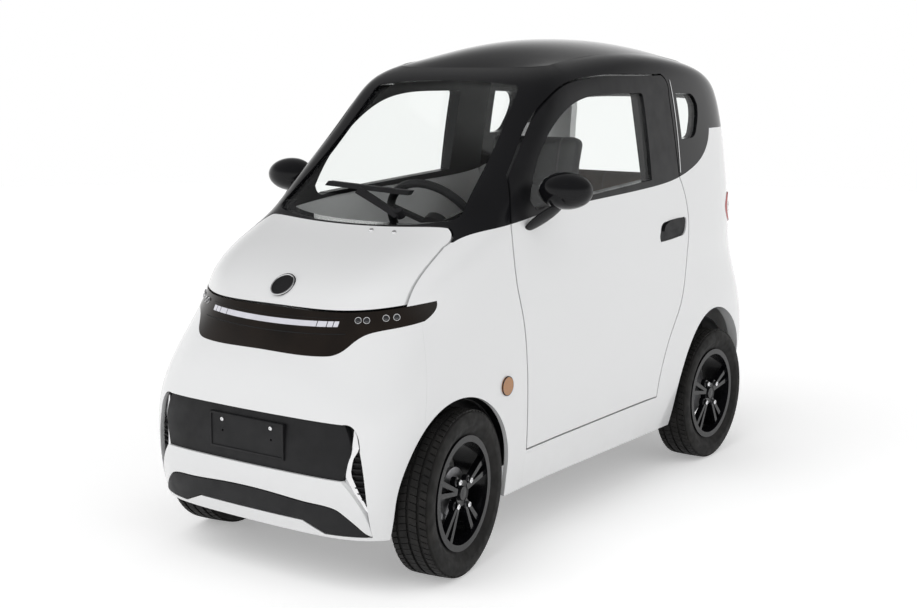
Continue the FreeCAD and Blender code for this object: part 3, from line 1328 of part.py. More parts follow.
wheel_rim = doc.addObject("Part::Torus", "steering_rim")
bind(wheel_rim, "Radius1", "Sizes.steering_wheel_radius", "Radius2", "Sizes.steering_rim_radius")
wheel_spokes = []
for index, turn in enumerate((0, 115, 245)):
    bar = box("steering_spoke_%d" % index, "Sizes.spoke_width", "Sizes.steering_wheel_radius",
              "Sizes.steering_rim_radius", "-Sizes.spoke_width / 2", "0", "-Sizes.steering_rim_radius / 2")
    turned_bar = doc.addObject("Part::Compound", "steering_arm_%d" % index)
    turned_bar.Links = [bar]
    turned_bar.Placement = Placement(Vector(0, 0, 0), Rotation(Vector(0, 0, 1), turn))
    wheel_spokes.append(turned_bar)
hub = cylinder("steering_hub", "Sizes.steering_hub_radius", "Sizes.steering_rim_radius * 2", "0", "0",
               "-Sizes.steering_rim_radius")
shaft = cylinder("steering_shaft", "Sizes.steering_shaft_radius", "Sizes.steering_shaft_length", "0", "0",
                 "-Sizes.steering_shaft_length - Sizes.steering_rim_radius")
keep(on_column(fused("steering_wheel", wheel_rim, hub, shaft, *wheel_spokes), "0"))
housing = less(
    "column_housing",
    cylinder("column_tube", "Sizes.steering_column_radius", "Sizes.steering_column_length", "0", "0", "0"),
    cylinder("column_bore", "Sizes.steering_shaft_radius + Sizes.running_gap", "Sizes.steering_column_length * 2", "0", "0",
             "Sizes.steering_column_length + Sizes.steering_column_gap - Sizes.steering_shaft_length"
             " - Sizes.steering_rim_radius - Sizes.panel_gap"),
)
keep(less("steering_column", on_column(housing, "-Sizes.steering_column_length - Sizes.steering_column_gap"),
          dashboard))

# Seats
SEAT_FRONT = "(%s + Sizes.seat_along - Sizes.seat_depth / 2)" % MIDDLE
SEAT_REAR = "(%s + Sizes.seat_along + Sizes.seat_depth / 2)" % MIDDLE
CUSHION_TOP = "(Sizes.seat_height + Sizes.seat_cushion_height)"
BACK_TOP = "(%s + Sizes.seat_back_height)" % CUSHION_TOP
LEAN_AT_TOP = "%s + Sizes.seat_back_lean" % SEAT_REAR
HEAD_TOP = BACK_TOP + " + Sizes.seat_head_height"
ALL_EDGES = "Sizes.seat_round"
keep(fused(
    "driver_seat",
    slab("seat_base", "Sizes.seat_base_width / 2", SEAT_FRONT + " + Sizes.seat_round", SEAT_REAR + " - Sizes.seat_round",
         FLOOR_TOP, "Sizes.seat_height + Sizes.seat_round"),
    across_pad("seat_cushion", (
        (SEAT_FRONT, "Sizes.seat_height"), (SEAT_REAR, "Sizes.seat_height"),
        (SEAT_REAR, CUSHION_TOP), (SEAT_FRONT, CUSHION_TOP),
    ), "Sizes.seat_width / 2", ALL_EDGES),
    across_pad("seat_back", (
        (SEAT_REAR + " - Sizes.seat_back_depth", "Sizes.seat_height + Sizes.seat_round"),
        (SEAT_REAR, "Sizes.seat_height + Sizes.seat_round"),
        (LEAN_AT_TOP, BACK_TOP),
        (LEAN_AT_TOP + " - Sizes.seat_back_depth", BACK_TOP),
    ), "Sizes.seat_width / 2", ALL_EDGES),
    across_pad("seat_head", (
        (LEAN_AT_TOP + " - Sizes.seat_back_depth", BACK_TOP + " - Sizes.seat_round * 2"),
        (LEAN_AT_TOP, BACK_TOP + " - Sizes.seat_round * 2"),
        (LEAN_AT_TOP + " + Sizes.seat_round / 2", HEAD_TOP),
        (LEAN_AT_TOP + " + Sizes.seat_round / 2 - Sizes.seat_back_depth", HEAD_TOP),
    ), "Sizes.seat_head_width / 2", ALL_EDGES),
))
BENCH_BACK = "(%s + Sizes.bench_depth)" % STEP
BENCH_TOP = "(Sizes.deck_height + Sizes.seat_cushion_height)"
keep(fused(
    "rear_bench",
    across_pad("bench_cushion", (
        (STEP, "Sizes.deck_height"), (BENCH_BACK, "Sizes.deck_height"), (BENCH_BACK, BENCH_TOP), (STEP, BENCH_TOP),
    ), "Sizes.bench_half_width", ALL_EDGES),
    across_pad("bench_back", (
        (BENCH_BACK + " - Sizes.seat_round", "Sizes.deck_height"),
        (BENCH_BACK + " - Sizes.seat_round + Sizes.bench_back_depth", "Sizes.deck_height"),
        (BENCH_BACK + " - Sizes.seat_round + Sizes.bench_back_depth + Sizes.bench_lean",
         "Sizes.deck_height + Sizes.bench_back_height"),
        (BENCH_BACK + " - Sizes.seat_round + Sizes.bench_lean", "Sizes.deck_height + Sizes.bench_back_height"),
    ), "Sizes.bench_half_width", ALL_EDGES),
))
print("cabin made")

# Outer fittings
MIRROR_X = "(Sizes.half_width + Sizes.mirror_reach)"
MIRROR_Y = "(%s + Sizes.mirror_along)" % MIDDLE
MIRROR_Z = "(Sizes.body_height * %s)" % MIRROR_LEVEL_SHARE
MIRROR_FOOT_LINE = Vector(78, 59, 68)


def ellipsoid(name, turn, half_pole, half_wide, half_high, start, x, y, z):
    """An ellipsoid bound to the sheet, by its turn, half sizes, the angle it starts at and its centre."""
    item = doc.addObject("Part::Ellipsoid", name)
    item.Placement = Placement(Vector(0, 0, 0), turn)
    return bind(item, "Radius1", half_pole, "Radius2", half_wide, "Radius3", half_high, "Angle1", start,
                "Placement.Base.x", x, "Placement.Base.y", y, "Placement.Base.z", z)


pod = ellipsoid("mirror_pod", Rotation(Vector(0, 0, 1), Vector(0, -1, 0)), "Sizes.mirror_half_depth",
                "Sizes.mirror_half_width", "Sizes.mirror_half_height",
                "-asin(Sizes.mirror_back / Sizes.mirror_half_depth)", MIRROR_X, MIRROR_Y, MIRROR_Z)
foot = ellipsoid("mirror_foot", Rotation(Vector(0, 0, 1), MIRROR_FOOT_LINE), "Sizes.mirror_foot_length / 2",
                 "Sizes.mirror_foot_wall / 2", "Sizes.mirror_foot_width / 2", "-90",
                 MIRROR_X + " - Sizes.mirror_foot_inset", MIRROR_Y + " - Sizes.mirror_foot_lead",
                 MIRROR_Z + " - Sizes.mirror_foot_drop")
mirror_left = keep(less("mirror_left", fused("mirror_whole", pod, foot), together("mirror_cuts", *door_items)))
keep(mirror_image("mirror_right", mirror_left))


def plate_holder(name, middle_y):
    """A plate holder with two bolt holes side by side."""
    level = "Sizes.body_height * %s" % PLATE_LEVEL_SHARE
    plate = slab(name + "_plate", "Sizes.plate_width / 2", middle_y + " - Sizes.plate_wall / 2",
                 middle_y + " + Sizes.plate_wall / 2", level + " - Sizes.plate_height / 2",
                 level + " + Sizes.plate_height / 2")
    holes = [cylinder("%s_hole_%s" % (name, side_name), "Sizes.plate_bolt_radius", "Sizes.plate_wall * 3",
                      "%d * Sizes.plate_bolt_half_spacing" % side, middle_y + " - Sizes.plate_wall", level,
                      Vector(0, 1, 0)) for side, side_name in ((1, "left"), (-1, "right"))]
    keep(less(name, plate, together(name + "_holes", *holes)))


plate_holder("plate_holder_front", "(%s - Sizes.nose_reach + Sizes.plate_setback)" % MIDDLE)
plate_holder("plate_holder_rear", "(%s + Sizes.tail_reach - Sizes.plate_recess + Sizes.plate_wall / 2"
             " + Sizes.seat_gap)" % MIDDLE)
doc.recompute()
print("all made")
for item in NODES:
    shape = item.Shape
    if shape.isNull() or not shape.isValid() or not shape.Solids or "Invalid" in item.State or "Error" in item.State:
        raise RuntimeError("bad shape: " + item.Label)
os.makedirs("parts", exist_ok=True)
for item in NODES:
    item.Shape.exportStep("parts/%s.step" % item.Label)
print("%d nodes written" % len(NODES))
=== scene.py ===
"""Looks of the two-door microcar: paint, glass, tyres, lamps, trim, cabin, studio floor and camera.

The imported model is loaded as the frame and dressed. Lengths are in metres. The front faces -Y, the car's
left is +X and the ground is at z = 0.
"""
import json
import math

import bmesh
import bpy
from bpy.props import FloatProperty, FloatVectorProperty, IntProperty, PointerProperty
from bpy.types import NodeSocket, Operator, Panel, PropertyGroup
from mathutils import Matrix, Vector


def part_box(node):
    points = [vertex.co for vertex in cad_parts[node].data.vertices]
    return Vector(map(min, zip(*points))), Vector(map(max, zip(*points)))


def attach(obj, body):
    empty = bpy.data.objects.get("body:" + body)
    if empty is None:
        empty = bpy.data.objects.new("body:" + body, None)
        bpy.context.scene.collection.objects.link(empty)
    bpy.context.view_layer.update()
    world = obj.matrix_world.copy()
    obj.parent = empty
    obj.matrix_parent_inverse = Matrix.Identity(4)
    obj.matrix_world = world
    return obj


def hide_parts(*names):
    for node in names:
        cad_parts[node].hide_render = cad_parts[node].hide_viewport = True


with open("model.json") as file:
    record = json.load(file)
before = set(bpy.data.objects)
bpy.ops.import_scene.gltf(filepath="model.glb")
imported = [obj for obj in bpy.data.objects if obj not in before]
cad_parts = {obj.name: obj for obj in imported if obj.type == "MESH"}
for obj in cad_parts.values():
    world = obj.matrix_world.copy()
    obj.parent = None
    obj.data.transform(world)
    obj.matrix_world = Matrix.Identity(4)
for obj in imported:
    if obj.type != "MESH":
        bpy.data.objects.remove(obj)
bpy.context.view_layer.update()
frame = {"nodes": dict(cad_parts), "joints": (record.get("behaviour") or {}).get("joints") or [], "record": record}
NODES = frame["nodes"]

bl_info = {
    "name": "Microcar Looks",
    "version": (1, 0, 0),
    "blender": (4, 5, 0),
    "location": "3D View > Sidebar > Microcar",
    "description": "Dresses the two-door microcar with paint, glass, tyres, lamps, trim and a studio",
    "category": "Object",
}


def colour_property(name, description, default):
    """A colour that a user can change."""
    return FloatVectorProperty(name=name, description=description, default=default, size=3, subtype="COLOR",
                               min=0, max=1)


def length_property(name, description, default):
    """A length that a user can change."""
    return FloatProperty(name=name, description=description, default=default, min=0, unit="LENGTH",
                         precision=4)


class MicrocarColours(PropertyGroup):
    """Colours of the car's finishes."""

    body: colour_property("Body paint", "Paint of the doors, fenders, hood and bumpers", (0.83, 0.835, 0.84))
    roof: colour_property("Roof paint", "Gloss paint of the cabin frame, roof and mirrors",
                          (0.006, 0.006, 0.007))
    trim: colour_property("Trim plastic", "Grained plastic of the grille and lips", (0.009, 0.009, 0.010))
    rubber: colour_property("Tyre rubber", "Rubber of the tyres and seals", (0.010, 0.010, 0.010))
    leather: colour_property("Seat leather", "Stitched leather of the driver's seat", (0.020, 0.020, 0.022))
    fabric: colour_property("Bench fabric", "Woven fabric of the rear bench", (0.10, 0.055, 0.026))
    amber: colour_property("Amber lens", "Lens of the side indicators", (0.50, 0.19, 0.02))
    red: colour_property("Red lens", "Lens of the tail lamps", (0.45, 0.008, 0.010))


class MicrocarSizes(PropertyGroup):
    """Sizes of the pieces that the scene adds."""

    tread_depth: length_property("Tread depth", "Depth of the tyre grooves", 0.006)
    groove_width: length_property("Groove width", "Width of the grooves round each tyre", 0.007)
    tread_blocks: IntProperty(name="Tread blocks", description="Blocks round each tyre", default=72, min=24,
                              max=120)
    nut_radius: length_property("Wheel nut radius", "Radius of each wheel nut", 0.0095)
    nut_circle: length_property("Nut circle", "Radius of the circle of wheel nuts", 0.050)


def colours():
    """The scene's car colours."""
    return bpy.context.scene.microcar_colours


def sizes():
    """The scene's car sizes."""
    return bpy.context.scene.microcar_sizes


# Finishes


class Finish:
    """A material under construction: its main shader and the nodes that drive it."""

    def __init__(self, name, colour, roughness, **sockets):
        self.material = bpy.data.materials.new(name)
        self.material.use_nodes = True
        self.tree = self.material.node_tree
        self.shader = self.tree.nodes["Principled BSDF"]
        self.shader.inputs["Base Color"].default_value = (*colour, 1)
        self.shader.inputs["Roughness"].default_value = roughness
        for socket, value in sockets.items():
            self.shader.inputs[socket.replace("_", " ")].default_value = value
        self.place = self.add("TexCoord").outputs["Object"]

    def add(self, kind, **values):
        """Adds a node; a value that names a setting sets it, and a socket is linked."""
        node = self.tree.nodes.new("ShaderNode" + kind)
        for key, value in values.items():
            if key in node.bl_rna.properties:
                setattr(node, key, value)
                continue
            socket = node.inputs[int(key[1:])] if key[1:].isdigit() else node.inputs[key.replace("_", " ")]
            if isinstance(value, NodeSocket):
                self.tree.links.new(value, socket)
            else:
                socket.default_value = value
        return node

    def drive(self, socket, source):
        """Links a source to a socket of the main shader."""
        self.tree.links.new(source, self.shader.inputs[socket])

    def noise(self, scale, detail=2.0, roughness=0.5, place=None):
        """A noise value over the object's own places."""
        return self.add("TexNoise", Vector=place or self.place, Scale=scale, Detail=detail,
                        Roughness=roughness).outputs["Fac"]

    def ranged(self, value, low, high, start=0.3, end=0.7):
        """A value spread between two limits."""
        node = self.add("MapRange", Value=value, From_Min=start, From_Max=end, To_Min=low, To_Max=high)
        return node.outputs["Result"]

    def mixed(self, factor, first, second):
        """A colour between two colours."""
        node = self.add("Mix", data_type="RGBA")
        self.tree.links.new(factor, node.inputs[0])
        for index, colour in ((6, first), (7, second)):
            if isinstance(colour, NodeSocket):
                self.tree.links.new(colour, node.inputs[index])
            else:
                node.inputs[index].default_value = (*colour, 1)
        return node.outputs[2]

    def bump(self, height, strength, distance=0.001):
        """Relief from a height value."""
        node = self.add("Bump", Height=height, Strength=strength, Distance=distance)
        if self.shader.inputs["Normal"].is_linked:
            self.tree.links.new(self.shader.inputs["Normal"].links[0].from_socket, node.inputs["Normal"])
        self.drive("Normal", node.outputs["Normal"])

    def varied(self, colour, spread, scale, rough_low, rough_high):
        """Slight differences of colour and gloss over the surface."""
        patch = self.noise(scale, 3)
        darker = tuple(channel * (1 - spread) for channel in colour)
        lighter = tuple(min(channel * (1 + spread), 1) for channel in colour)
        self.drive("Base Color", self.mixed(self.ranged(patch, 0, 1), darker, lighter))
        self.drive("Roughness", self.ranged(self.noise(scale * 2.3, 2), rough_low, rough_high))


def body_paint():
    """Gloss white paint under clear coat, with orange peel and a trace of road dust near the sills."""
    white = tuple(colours().body)
    finish = Finish("gloss white paint", white, 0.30, Coat_Weight=1.0, Coat_Roughness=0.03, Coat_IOR=1.5)
    height = finish.add("SeparateXYZ", Vector=finish.place).outputs["Z"]
    low = finish.ranged(height, 1, 0, 0.14, 0.34)
    patches = finish.ranged(finish.noise(14, 4), 0, 0.10)
    dust = finish.add("Math", operation="MULTIPLY", _0=low, _1=patches).outputs[0]
    finish.drive("Base Color", finish.mixed(dust, white, (0.42, 0.40, 0.37)))
    finish.drive("Roughness", finish.ranged(finish.noise(2.5, 1), 0.28, 0.32))
    finish.bump(finish.noise(420, 1), 0.01, 0.0004)
    return finish.material


def roof_paint():
    """Gloss black paint with orange peel."""
    colour = tuple(colours().roof)
    finish = Finish("gloss black paint", colour, 0.10, Specular_IOR_Level=0.16, Coat_Weight=0.12,
                    Coat_Roughness=0.02)
    finish.varied(colour, 0.2, 3, 0.08, 0.12)
    finish.bump(finish.noise(420, 1), 0.02, 0.0006)
    return finish.material


def door_frame_paint():
    """Satin black paint of the door frames."""
    colour = (0.008, 0.008, 0.009)
    finish = Finish("satin black paint", colour, 0.35, Specular_IOR_Level=0.22)
    finish.varied(colour, 0.2, 9, 0.30, 0.42)
    finish.bump(finish.noise(900, 2), 0.06, 0.0004)
    return finish.material


def window_glass():
    """Clear safety glass: it shows what is behind it and reflects more at a low angle."""
    return see_through("clear glass", (0.985, 0.992, 0.988), 0.02)


def see_through(name, tint, roughness):
    """A thin clear sheet of a tint with a glossy face, which reflects more at a low angle."""
    finish = Finish(name, (1, 1, 1), roughness)
    finish.tree.nodes.remove(finish.shader)
    streak = finish.ranged(finish.noise(3, 2), roughness, roughness + 0.03)
    clear = finish.add("BsdfTransparent", Color=(*tint, 1))
    gloss = finish.add("BsdfGlossy", Color=(1, 1, 1, 1), Roughness=streak)
    facing = finish.add("LayerWeight", Blend=0.5).outputs["Facing"]
    steep = finish.add("Math", operation="POWER", _0=facing, _1=5.0).outputs[0]
    edge = finish.add("MapRange", Value=steep, To_Min=0.010, To_Max=0.55).outputs["Result"]
    mix = finish.add("MixShader", _0=edge)
    finish.tree.links.new(clear.outputs[0], mix.inputs[1])
    finish.tree.links.new(gloss.outputs[0], mix.inputs[2])
    finish.tree.links.new(mix.outputs[0], finish.tree.nodes["Material Output"].inputs["Surface"])
    return finish.material


def grained_plastic():
    """Moulded plastic with a fine pebble grain."""
    colour = tuple(colours().trim)
    finish = Finish("grained black plastic", colour, 0.5, Specular_IOR_Level=0.28)
    finish.varied(colour, 0.18, 11, 0.48, 0.60)
    pebble = finish.add("TexVoronoi", Vector=finish.place, Scale=850, feature="SMOOTH_F1").outputs["Distance"]
    finish.bump(pebble, 0.22, 0.0006)
    return finish.material


def tyre_rubber():
    """Matt black rubber, a little browner and duller where it has weathered."""
    colour = tuple(colours().rubber)
    finish = Finish("tyre rubber", colour, 0.68, Specular_IOR_Level=0.2)
    worn = finish.ranged(finish.noise(16, 5), 0, 1)
    finish.drive("Base Color", finish.mixed(worn, colour, (0.019, 0.018, 0.017)))
    finish.drive("Roughness", finish.ranged(finish.noise(40, 3), 0.58, 0.80))
    finish.bump(finish.noise(700, 3), 0.15, 0.0005)
    return finish.material


def alloy_black():
    """Gloss black wheel paint."""
    colour = (0.005, 0.005, 0.006)
    finish = Finish("gloss black alloy", colour, 0.14, Specular_IOR_Level=0.22, Coat_Weight=0.12,
                    Coat_Roughness=0.04)
    finish.varied(colour, 0.25, 22, 0.12, 0.22)
    finish.bump(finish.noise(520, 2), 0.03, 0.0005)
    return finish.material


def chrome():
    """Bright chrome with faint polishing marks."""
    colour = (0.82, 0.82, 0.83)
    finish = Finish("bright chrome", colour, 0.06, Metallic=1.0)
    finish.varied(colour, 0.04, 30, 0.04, 0.10)
    finish.bump(finish.noise(600, 2), 0.02, 0.0003)
    return finish.material


def machined_steel():
    """Oiled steel with brushed marks and dull patches."""
    finish = Finish("oiled steel", (0.30, 0.30, 0.31), 0.4, Metallic=0.9)
    finish.varied((0.28, 0.28, 0.29), 0.25, 18, 0.32, 0.55)
    finish.bump(finish.noise(380, 4), 0.12, 0.0005)
    return finish.material


def chassis_coat():
    """Thick black chassis paint with a dusty film."""
    finish = Finish("black chassis paint", (0.02, 0.02, 0.02), 0.55)
    finish.varied((0.022, 0.021, 0.020), 0.35, 10, 0.45, 0.70)
    finish.bump(finish.noise(190, 4), 0.18, 0.0008)
    return finish.material


def seat_leather():
    """Black leather with a pebbled grain and creases."""
    colour = tuple(colours().leather)
    finish = Finish("black leather", colour, 0.42, Sheen_Weight=0.15)
    finish.varied(colour, 0.3, 8, 0.36, 0.52)
    cells = finish.add("TexVoronoi", Vector=finish.place, Scale=520, feature="DISTANCE_TO_EDGE")
    finish.bump(finish.ranged(cells.outputs["Distance"], 0, 1, 0.0, 0.18), 0.30, 0.0006)
    finish.bump(finish.noise(36, 3), 0.25, 0.002)
    return finish.material


def lamp_cover():
    """Smoked brown-black gloss of the lamp bar."""
    colour = (0.010, 0.0065, 0.0045)
    finish = Finish("smoked lamp cover", colour, 0.07, Specular_IOR_Level=0.25, Coat_Weight=0.2,
                    Coat_Roughness=0.02)
    finish.varied(colour, 0.4, 7, 0.05, 0.10)
    finish.bump(finish.noise(30, 1), 0.02, 0.0006)
    return finish.material


def lens(name, colour):
    """Coloured lamp plastic under a gloss face; its fine prism ribs are painted light and shade, as darker bands
    of its colour.
    """
    finish = Finish(name, colour, 0.12, Coat_Weight=0.8, Coat_Roughness=0.03)
    # Painted light and shade: the prism ribs are darker and lighter bands of colour, with no relief.
    prism_shading = finish.add("TexWave", Vector=finish.place, Scale=95.0, Distortion=0.0,
                        bands_direction="Z").outputs["Fac"]
    dark = tuple(channel * 0.55 for channel in colour)
    finish.drive("Base Color", finish.mixed(prism_shading, dark, colour))
    finish.drive("Roughness", finish.ranged(finish.noise(12, 2), 0.08, 0.16))
    return finish.material


def amber_lens():
    """Amber lens of the side indicators."""
    return lens("amber lens", tuple(colours().amber))


def red_lens():
    """Red lens of the tail lamps."""
    return lens("red lens", tuple(colours().red))


def bench_fabric():
    """Plain dark brown weave of the rear bench; its raised thread crossings carry a painted highlight, lighter
    than the yarn.
    """
    colour = tuple(colours().fabric)
    finish = Finish("dark brown weave", colour, 0.9, Sheen_Weight=0.35, Specular_IOR_Level=0.25)
    warp, weft = (finish.add("TexWave", Vector=finish.place, Scale=260.0, Distortion=1.2,
                             bands_direction=direction).outputs["Fac"] for direction in ("X", "Z"))
    weave_relief_and_highlight = finish.add("Math", operation="MULTIPLY", _0=warp, _1=weft).outputs[0]
    patch = finish.ranged(finish.noise(9, 4), 0, 1)
    base = finish.mixed(patch, tuple(channel * 0.55 for channel in colour), colour)
    # Painted highlight: the thread crossings, which the bump also raises, are painted lighter than the yarn.
    finish.drive("Base Color", finish.mixed(weave_relief_and_highlight, base, tuple(min(channel * 1.9, 1) for channel in colour)))
    finish.drive("Roughness", finish.ranged(finish.noise(30, 2), 0.82, 0.96))
    finish.bump(weave_relief_and_highlight, 0.5, 0.0008)
    return finish.material


def lit_strip():
    """Frosted white plastic of the running light."""
    colour = (0.72, 0.72, 0.78)
    finish = Finish("frosted white strip", colour, 0.25, Coat_Weight=1.0, Coat_Roughness=0.03)
    finish.varied(colour, 0.05, 20, 0.2, 0.3)
    finish.bump(finish.noise(300, 1), 0.03, 0.0004)
    return finish.material


def mirror_silver():
    """Silvered mirror glass."""
    colour = (0.9, 0.92, 0.93)
    finish = Finish("mirror silver", colour, 0.02, Metallic=1.0)
    finish.varied(colour, 0.01, 6, 0.01, 0.03)
    return finish.material


def dark_screen():
    """Dark glass of the projectors' eyes."""
    colour = (0.01, 0.011, 0.014)
    finish = Finish("dark display glass", colour, 0.08, Coat_Weight=1.0, Coat_Roughness=0.02)
    finish.varied(colour, 0.2, 14, 0.06, 0.12)
    return finish.material


FINISHES = {
    "body_paint": body_paint, "roof_paint": roof_paint, "window_glass": window_glass,
    "dark_trim": grained_plastic,
    "tyre_rubber": tyre_rubber, "rim_paint": alloy_black, "chassis_paint": chassis_coat,
    "running_gear_steel": machined_steel, "lamp_lens": lamp_cover, "dash_plastic": grained_plastic,
    "seat_leather": seat_leather, "battery_case": grained_plastic, "amber_lens": amber_lens,
    "red_lens": red_lens,
    "bright_trim": body_paint,
}
made = {}


def material_of(maker, *arguments):
    """The material that a maker gives, made once."""
    key = (maker.__name__,) + arguments
    if key not in made:
        made[key] = maker(*arguments)
    return made[key]


def cover(piece, material):
    """Gives a piece one material."""
    piece.data.materials.clear()
    piece.data.materials.append(material)


class MICROCAR_OT_finishes(Operator):
    """Gives every piece of the frame the finish of its material slot"""

    bl_idname = "microcar.finishes"
    bl_label = "Finish the frame's pieces"

    def execute(self, context):
        for row in frame["record"]["subparts"]:
            piece = NODES[row["node"]]
            for slot in piece.material_slots:
                slot.material = material_of(FINISHES[row["material_slot"]])
        for name in ("door_frame_left", "door_frame_right"):
            NODES[name].material_slots[0].material = material_of(door_frame_paint)
        return {"FINISHED"}


# Modelling


def free_hands():
    """Goes back to object mode with nothing selected."""
    if bpy.context.mode != "OBJECT":
        bpy.ops.object.mode_set(mode="OBJECT")
    bpy.ops.object.select_all(action="DESELECT")


def shape_it():
    """Goes into edit mode with everything selected."""
    bpy.ops.object.mode_set(mode="EDIT")
    bpy.ops.mesh.select_all(action="SELECT")


def pick(test, kind="FACE"):
    """Selects, in edit mode, the faces whose middle and normal pass a test, or the edges that pass it."""
    bpy.ops.mesh.select_mode(type=kind)
    mesh = bmesh.from_edit_mesh(bpy.context.object.data)
    for group in (mesh.faces, mesh.edges, mesh.verts):
        for item in group:
            item.select_set(False)
    if kind == "FACE":
        for face in mesh.faces:
            if test(face.calc_center_median(), face.normal):
                face.select_set(True)
    else:
        for edge in mesh.edges:
            if test(edge):
                edge.select_set(True)
    mesh.select_flush_mode()
    bmesh.update_edit_mesh(bpy.context.object.data)


def finished(name, material, body, smooth=35, outward=False):
    """Names a modelled piece, puts its place in its mesh, dresses it and lets it ride on a body."""
    if outward:
        if bpy.context.mode == "OBJECT":
            shape_it()
        bpy.ops.mesh.select_all(action="SELECT")
        bpy.ops.mesh.normals_make_consistent(inside=False)
    if bpy.context.mode != "OBJECT":
        bpy.ops.object.mode_set(mode="OBJECT")
    piece = bpy.context.object
    bpy.ops.object.transform_apply(location=True, rotation=True, scale=True)
    bpy.ops.object.shade_smooth_by_angle(angle=math.radians(smooth))
    piece.name = name
    piece.data.name = name
    cover(piece, material)
    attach(piece, body)
    return piece


def moved_copy(piece, name, body, matrix):
    """A named copy of a model with a mesh of its own, at another place and riding on a body."""
    copy = piece.copy()
    copy.data = piece.data.copy()
    copy.parent = None
    copy.matrix_world = Matrix.Identity(4)
    bpy.context.collection.objects.link(copy)
    copy.data.transform(matrix)
    if matrix.determinant() < 0:
        copy.data.flip_normals()
    copy.name = name
    copy.data.name = name
    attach(copy, body)
    return copy


def improve(kind, **values):
    """Adds a modifier to the piece in hand and applies it."""
    if bpy.context.mode != "OBJECT":
        bpy.ops.object.mode_set(mode="OBJECT")
    modifier = bpy.context.object.modifiers.new(kind.lower(), kind)
    for key, value in values.items():
        setattr(modifier, key, value)
    bpy.ops.object.modifier_apply(modifier=modifier.name)


def turned_ring(rings, count, close=True):
    """A round shell about the X axis, drawn from ring to ring; each ring is across, radius and turn."""
    free_hands()
    bpy.ops.mesh.primitive_circle_add(vertices=count, radius=rings[0][1], rotation=(0, math.pi / 2, 0))
    bpy.ops.object.transform_apply(rotation=True)
    shape_it()
    bpy.ops.transform.translate(value=(rings[0][0], 0, 0))
    for (before, now) in zip(rings, rings[1:]):
        bpy.ops.mesh.extrude_edges_move(TRANSFORM_OT_translate={"value": (now[0] - before[0], 0, 0)})
        grow = now[1] / before[1]
        bpy.ops.transform.resize(value=(1, grow, grow), center_override=(now[0], 0, 0))
        if len(now) > 2:
            bpy.ops.transform.rotate(value=now[2], orient_axis="X", center_override=(now[0], 0, 0))
    if close:
        pick(lambda edge: edge.is_boundary, "EDGE")
        bpy.ops.mesh.bridge_edge_loops()
    bpy.ops.mesh.select_all(action="SELECT")
    bpy.ops.mesh.normals_make_consistent(inside=False)


def surface_spot(node, start, direction):
    """The place and outward normal where a line meets a CAD piece."""
    hit, place, normal, _ = NODES[node].ray_cast(Vector(start), Vector(direction).normalized())
    if not hit:
        raise RuntimeError("nothing of %s on the line from %s" % (node, start))
    return place, normal if normal.dot(Vector(direction)) < 0 else -normal


def cap_holes():
    """Fills the small openings of the shell in hand."""
    pick(lambda edge: edge.is_boundary, "EDGE")
    bpy.ops.mesh.edge_face_add()
    bpy.ops.mesh.select_all(action="SELECT")
    bpy.ops.mesh.normals_make_consistent(inside=False)


def ready(maker, smooth):
    """Smooths and dresses the model in hand, which is copied and then thrown away."""
    free_hands()
    piece = bpy.context.view_layer.objects.active
    piece.select_set(True)
    bpy.ops.object.shade_smooth_by_angle(angle=math.radians(smooth))
    cover(piece, material_of(maker))
    return piece


def ring_model(rings, count, maker, smooth):
    """A turned model whose profile closes on itself."""
    turned_ring(rings, count)
    return ready(maker, smooth)


def cap_model(rings, count, maker, smooth, stretch=(1, 1, 1)):
    """A turned model whose openings are filled."""
    turned_ring(rings, count, False)
    cap_holes()
    if stretch != (1, 1, 1):
        bpy.ops.transform.resize(value=stretch, center_override=(0, 0, 0))
    return ready(maker, smooth)


def throw_away(*models):
    """Removes models that have been copied."""
    for model in models:
        bpy.data.objects.remove(model)


def set_against(place, normal):
    """The matrix that turns a piece's X axis to a normal at a place."""
    return Matrix.Translation(place) @ normal.to_track_quat("X", "Z").to_matrix().to_4x4()


def laid_strip(name, node, outline, direction, rise, thickness, maker, cuts):
    """A thin strip laid on a fixed CAD piece: its outline is two edges of points, seen along a direction."""
    free_hands()
    bpy.ops.mesh.primitive_grid_add(x_subdivisions=cuts, y_subdivisions=2, size=1)
    strip = bpy.context.object
    first, second = outline
    for vertex in strip.data.vertices:
        along, across = vertex.co.x + 0.5, vertex.co.y + 0.5
        vertex.co = on_line(first, along).lerp(on_line(second, along), across)
        place, normal = surface_spot(node, vertex.co, direction)
        vertex.co = place + normal * rise
    improve("SOLIDIFY", thickness=thickness, offset=-1)
    improve("BEVEL", width=thickness * 0.3, segments=1, limit_method="ANGLE", angle_limit=math.radians(50))
    finished(name, material_of(maker), "root", 40, True)


def on_line(points, share):
    """The place at a share of the way through evenly spread points."""
    reach = share * (len(points) - 1)
    index = min(int(reach), len(points) - 2)
    return Vector(points[index]).lerp(Vector(points[index + 1]), reach - index)


# Wheels

# The profile of a turned piece lists places along its axis, each with the radius there.
SIDES = ((1, "left"), (-1, "right"))
TYRE_RADIUS = 0.2466
TREAD_HALF_WIDTH = 0.058
TREAD_SPLIT = 0.62
TREAD_SLANT = 0.030
SHOULDER_DROP = 0.0012
CROWN_RISE = 0.0003
SHOULDER_GAP = 0.0016
CENTRE_GAP = 0.0008
SIDEWALL = ((-0.048, 0.1578), (-0.0482, 0.1700), (-0.0530, 0.1776), (-0.0596, 0.1890), (-0.0640, 0.1990),
            (-0.0652, 0.2010), (-0.0664, 0.2060), (-0.0664, 0.2230), (-0.0648, 0.2310))
WHEEL_CAP = ((0.042, 0.0215), (0.0500, 0.0215), (0.0520, 0.0200), (0.0516, 0.0165), (0.0524, 0.0100),
             (0.0526, 0.0010))
NUT_SEAT = ((0.0300, 0.0150), (0.0450, 0.0140), (0.0456, 0.0132), (0.0450, 0.0006))
NUT_PLACE = 0.051
NUT_LENGTH = 0.012
NUT_COUNT = 4
NUT_START_ANGLE = 36


